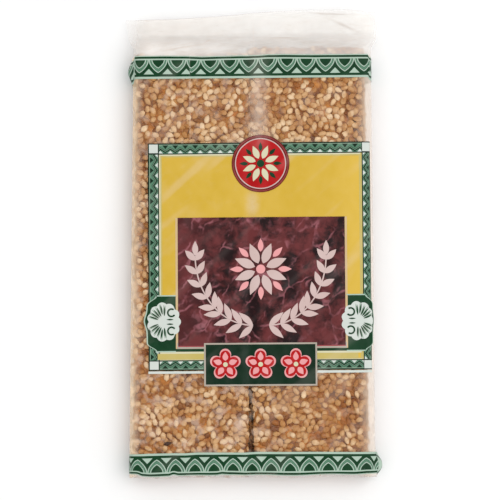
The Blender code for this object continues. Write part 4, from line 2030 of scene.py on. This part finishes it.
    def ornament(self, side: int) -> None:
        """Draws one side ornament: a green field with a scalloped palmette.

        Args:
            side: 1 for the right one, -1 for the left one.
        """
        y = spaced(self.side_low, self.side_high, 0.4 * MM)
        outer = self.middle + side * self.side_outline(y)
        inner = np.full(len(y), self.panel_sides()[max(side, 0)] + side * self.panel_border)
        self.sheet.between(Ink.DARK_GREEN, 6, (inner, y), (outer, y), 14)
        rim = self.middle + side * (self.side_outline(y) + 0.42 * MM)
        self.sheet.between(Ink.MINT, 6, (outer, y), (rim, y))
        ledge = self.middle + side * np.linspace(*self.side_ledge, 12)
        for level, step in ((self.side_high, 0.4 * MM), (self.side_low, -0.4 * MM)):
            edge = np.full(12, level)
            self.sheet.between(Ink.MINT, 6, (ledge, edge), (ledge, edge + step))
        across, along = self.palmette_place
        self.palmette((self.middle + side * across, along), side)

    def palmette(self, centre: Place, side: int) -> None:
        """Draws the white scalloped palmette with its dark rays and curls.

        Args:
            centre: Its middle.
            side: -1 on the left, 1 on the right.
        """

        def scallops(angle: Array) -> Array:
            """The palmette's radius, with eleven lobes."""
            oval = 1.0 / np.sqrt((np.cos(angle) / 5.3) ** 2 + (np.sin(angle) / 6.2) ** 2)
            return (oval + 0.62 * np.abs(np.cos(5.5 * angle)) - 0.32) * MM

        self.sheet.shape(Ink.WHITE, 8, centre, scallops, count=132, rings=8)
        for degrees in (-94, -79, -64, -50, -36, -22, 22, 36, 50, 64, 79, 94):
            angle = radians(degrees) if side > 0 else pi - radians(degrees)
            root = beyond(centre, (1.9 + 0.5 * (degrees % 2)) * MM, angle)
            self.sheet.leaf(Ink.DARK_GREEN, 10, root, angle, 3.5 * MM, 0.52 * MM, 0.8)
            self.sheet.leaf(Ink.SAGE, 9, root, angle + radians(7), 3.9 * MM, 0.5 * MM, 0.7)
        for rise in (1, -1):
            turn = np.linspace(radians(55), radians(325), 21)
            middle = (centre[0] - side * 2.5 * MM, centre[1] + rise * 3.0 * MM)
            curl = [
                (middle[0] - side * radius * np.cos(turn), middle[1] + rise * radius * np.sin(turn))
                for radius in (0.95 * MM, 1.5 * MM)
            ]
            self.sheet.between(Ink.DARK_GREEN, 10, *curl)
        for rise in (0.75, -0.75):
            root = (centre[0] - side * 3.2 * MM, centre[1] + rise * MM)
            self.sheet.leaf(Ink.DARK_GREEN, 10, root, pi / 2 - side * pi / 2, 2.4 * MM, 0.5 * MM)

    def strips(self, side: int) -> None:
        """Draws the dark line and the pale line over the lower yellow strip.

        Args:
            side: -1 on the left, 1 on the right.
        """
        near, far = (self.middle + side * reach for reach in self.strip_reach)
        high, middle, low = self.strip_levels
        self.sheet.area(Ink.DARK_GREEN, 5, (near, far), (high, middle))
        self.sheet.area(Ink.CREAM, 5, (near, far), (middle, low))
        foot = self.low + self.rail_width + 0.2 * MM
        self.sheet.area(Ink.STRAW, 5, (near, far - 1.1 * MM), (low, foot))

    def flower(self, centre: Place, inks: tuple[Ink, Ink], level: int, petals: int,
               reach: Place, width: float) -> None:
        """Draws a flower of seed-shaped petals with a leaf between each two.

        Args:
            centre: Its middle.
            inks: The petals' ink, then the leaves' and the heart's.
            level: Its layer.
            petals: How many petals it has.
            reach: Distances from the middle at which a petal starts and ends.
            width: A petal's width.
        """
        start, end = reach
        for number in range(petals):
            angle = tau * (number + 0.5) / petals
            root = beyond(centre, start, angle)
            self.sheet.leaf(inks[0], level, root, angle, end - start, width, 0.8)
            between = angle + pi / petals
            root = beyond(centre, start + 0.52 * (end - start), between)
            self.sheet.leaf(inks[1], level, root, between, 0.62 * (end - start), 0.62 * width, 0.8)
        self.sheet.shape(inks[1], level, centre, 0.74 * start, count=24, rings=2)

    def sprays(self) -> None:
        """Draws two leafy sprays that bend up round a flower on the marbled panel."""
        wide, tall = self.spray_reach
        for side in (-1, 1):
            turn = np.linspace(0.0, 0.5 * pi, 25)
            u = self.middle + side * (self.spray_root[0] + wide * np.sin(turn))
            y = self.spray_root[1] + tall * (1.0 - np.cos(turn))
            ahead = np.arctan2(tall * np.sin(turn), side * wide * np.cos(turn))
            aside = (-0.22 * MM * np.sin(ahead), 0.22 * MM * np.cos(ahead))
            edges = [(u + sign * aside[0], y + sign * aside[1]) for sign in (-1, 1)]
            self.sheet.between(Ink.BLUSH, 8, *edges)
            for number in range(self.spray_leaves):
                at = round(number * 24 / (self.spray_leaves - 0.6))
                length = (6.4 - 0.2 * number) * MM
                for lean in (-radians(42), radians(42)):
                    root = (float(u[at]), float(y[at]))
                    self.sheet.leaf(Ink.BLUSH, 9, root, float(ahead[at]) + lean, length, 2.1 * MM, 0.85)
            self.sheet.leaf(Ink.BLUSH, 9, (float(u[-1]), float(y[-1])), 0.5 * pi, 5.0 * MM, 2.0 * MM, 0.85)
        inks = (Ink.BLUSH, Ink.PINK)
        self.flower((self.middle, self.heart), inks, 8, 8, (2.0 * MM, 9.2 * MM), 3.0 * MM)

    def medallion(self) -> None:
        """Draws a plain red medallion with a flower of eight seeds."""
        radius = self.medal_radius
        discs = (
            (Ink.DARK_RED, 9, 1.0), (Ink.ROSE, 10, 0.96), (Ink.DARK_RED, 11, 0.94), (Ink.BLUSH, 12, 0.885),
            (Ink.RED, 13, 0.85),
        )
        for ink, level, share in discs:
            self.sheet.shape(ink, level, self.medal_centre, radius * share, count=96, rings=12)
        inks = (Ink.CREAM, Ink.DARK_GREEN)
        self.flower(self.medal_centre, inks, 14, 8, (1.7 * MM, 6.4 * MM), 2.0 * MM)

    def green_box(self) -> None:
        """Draws the green box with its pale border and three blossoms."""
        left, right = self.box_middle - self.box_half, self.box_middle + self.box_half
        edge = self.box_border
        self.sheet.area(Ink.STONE, 8, (left, right), (self.box_low, self.box_high))
        inner = (self.box_low + edge, self.box_high - edge)
        self.sheet.area(Ink.BLACK_GREEN, 9, (left + edge, right - edge), inner)
        level = 0.5 * (self.box_low + self.box_high)
        for number in (-1, 0, 1):
            self.blossom((self.box_middle + number * self.blossom_pitch, level), self.blossom_radius)

    def blossom(self, centre: Place, radius: float) -> None:
        """Draws a five-petalled blossom in pink and red.

        Args:
            centre: Its middle.
            radius: Its radius.
        """

        def petals(angle: Array) -> Array:
            """The blossom's radius, with five round petals."""
            return radius * (0.56 + 0.44 * np.abs(np.cos(2.5 * (angle - pi / 2))) ** 0.7)

        self.sheet.shape(Ink.PINK, 10, centre, petals, count=90, rings=6)
        self.sheet.shape(Ink.RED, 11, centre, lambda angle: 0.88 * petals(angle), count=90, rings=6)
        for number in range(5):
            angle = pi / 2 + tau * number / 5
            root = beyond(centre, 0.24 * radius, angle)
            self.sheet.leaf(Ink.PINK, 12, root, angle, 0.56 * radius, 0.36 * radius, 0.75)
        self.sheet.shape(Ink.CREAM, 12, centre, 0.15 * radius, count=20, rings=1)

    def build(self) -> None:
        """Draws every part of the label and makes its pieces."""
        parts: dict[str, Callable[[], None]] = {
            "frame": self.frame_ground,
            "field": self.yellow_field,
            "panel": self.panel,
            "sprays": self.sprays,
            "left_ornament": lambda: self.ornament(-1),
            "right_ornament": lambda: self.ornament(1),
            "left_strip": lambda: self.strips(-1),
            "right_strip": lambda: self.strips(1),
            "medallion": self.medallion,
            "green_box": self.green_box,
        }
        for name, draw in parts.items():
            self.sheet = PrintSheet(self.shop, self.form, f"label_{name}", self.warp)
            draw()
            self.sheet.build()


@dataclass
class Studio:
    """A pale floor, soft light and a camera almost straight above the pack."""

    aim: Point = (-1.3 * MM, -3.15 * MM, 10.2 * MM)  # the point of the pack at the picture's middle
    distance: float = 0.72  # how far away the camera is
    tilt: float = radians(4.0)  # how far it leans from straight above towards the folded end
    roll: float = radians(0.4)  # how far the picture is turned
    pixels_per_metre: float = 3030.0  # the pack's scale in the picture
    picture: int = 500  # pixels
    sensor: float = 36.0  # millimetres
    sky_strength: float = 0.875  # strength of the even light
    key_power: float = 2.5
    key_place: Point = (0.36, 0.08, 0.75)  # where the soft lamp stands
    key_size: float = 0.6
    floor_reach: float = 2.0

    def camera(self) -> None:
        """Sets up the camera."""
        view = Vector((0.0, sin(self.tilt), -cos(self.tilt)))
        right = Vector((1.0, 0.0, 0.0))
        up = right.cross(view)
        across = right * cos(self.roll) - up * sin(self.roll)
        upward = right * sin(self.roll) + up * cos(self.roll)
        data = bpy.data.cameras.new("camera")
        data.sensor_fit = "HORIZONTAL"
        data.sensor_width = self.sensor
        data.lens = self.pixels_per_metre * self.distance / self.picture * self.sensor
        data.clip_start, data.clip_end = 0.01, 10.0
        item = bpy.data.objects.new("camera", data)
        turn = Matrix((across, upward, -view)).transposed().to_4x4()
        item.matrix_world = Matrix.Translation(Vector(self.aim) - view * self.distance) @ turn
        bpy.context.scene.collection.objects.link(item)
        bpy.context.scene.camera = item

    def lamp(self) -> None:
        """Adds a square soft lamp that points at the pack."""
        data = bpy.data.lights.new("key", "AREA")
        data.shape = "SQUARE"
        data.size = self.key_size
        data.energy = self.key_power
        item = bpy.data.objects.new("key", data)
        item.location = self.key_place
        item.rotation_euler = (-Vector(self.key_place)).to_track_quat("-Z", "Y").to_euler()
        bpy.context.scene.collection.objects.link(item)

    def floor(self) -> None:
        """Lays the floor."""
        reach = self.floor_reach
        data = bpy.data.meshes.new("floor")
        corners = [(-reach, -reach, 0.0), (reach, -reach, 0.0), (reach, reach, 0.0), (-reach, reach, 0.0)]
        data.from_pydata(corners, [], [(0, 1, 2, 3)])
        data.materials.append(FloorFinish().build())
        item = bpy.data.objects.new("floor", data)
        bpy.context.scene.collection.objects.link(item)

    def sky(self) -> None:
        """Fills the room with even light."""
        world = bpy.data.worlds.new("room")
        world.use_nodes = True
        background = world.node_tree.nodes["Background"]
        background.inputs["Color"].default_value = (1.0, 1.0, 1.0, 1.0)
        background.inputs["Strength"].default_value = self.sky_strength
        bpy.context.scene.world = world

    def build(self) -> None:
        """Sets up the studio."""
        self.camera()
        self.floor()
        self.sky()
        self.lamp()
        bpy.context.scene.view_settings.view_transform = "Standard"


def main() -> None:
    """Builds the pack piece by piece."""
    logging.basicConfig(level=logging.INFO, format="%(name)s: %(message)s")
    low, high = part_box(NODE)
    form = PackForm(reach_x=0.5 * (high[0] - low[0]), reach_y=0.5 * (high[1] - low[1]))
    shop = Workshop()
    Studio().build()
    bars = [
        SesameBar(
            shop, "left_bar", left_high=-38.5 * MM, left_low=-40.1 * MM, right_high=-0.8 * MM,
            right_low=-2.6 * MM, far_end=62.6 * MM, top=8.8 * MM, lumps=Lumps(2.6 * MM, 7),
        ),
        SesameBar(
            shop, "right_bar", left_high=-1.6 * MM, left_low=-0.1 * MM, right_high=36.9 * MM,
            right_low=37.0 * MM, far_end=64.2 * MM, top=8.97 * MM, lumps=Lumps(2.6 * MM, 8),
        ),
    ]
    bands = [
        ArchBand(
            shop, form, "upper_band", edge=53.95 * MM, heading=1, pitch=6.37 * MM, anchor=36.93 * MM,
            inner_shift=UPPER_INNER, outer_shift=UPPER_OUTER, fold=-20.9 * MM,
            ears=(Ear(-1, 2.45 * MM, 1.5 * MM, lined=True), Ear(1, 1.6 * MM, 0.9 * MM)),
        ),
        ArchBand(
            shop, form, "lower_band", edge=-69.5 * MM, heading=-1, pitch=6.249 * MM, anchor=36.39 * MM,
            inner_shift=LOWER_INNER, outer_shift=LOWER_OUTER, tab=41.2 * MM,
        ),
    ]
    for part in (*bars, SeedCoat(shop, bars), FilmWrap(shop, form), *bands, Label(shop, form)):
        part.build()


if __name__ == "__main__":
    main()
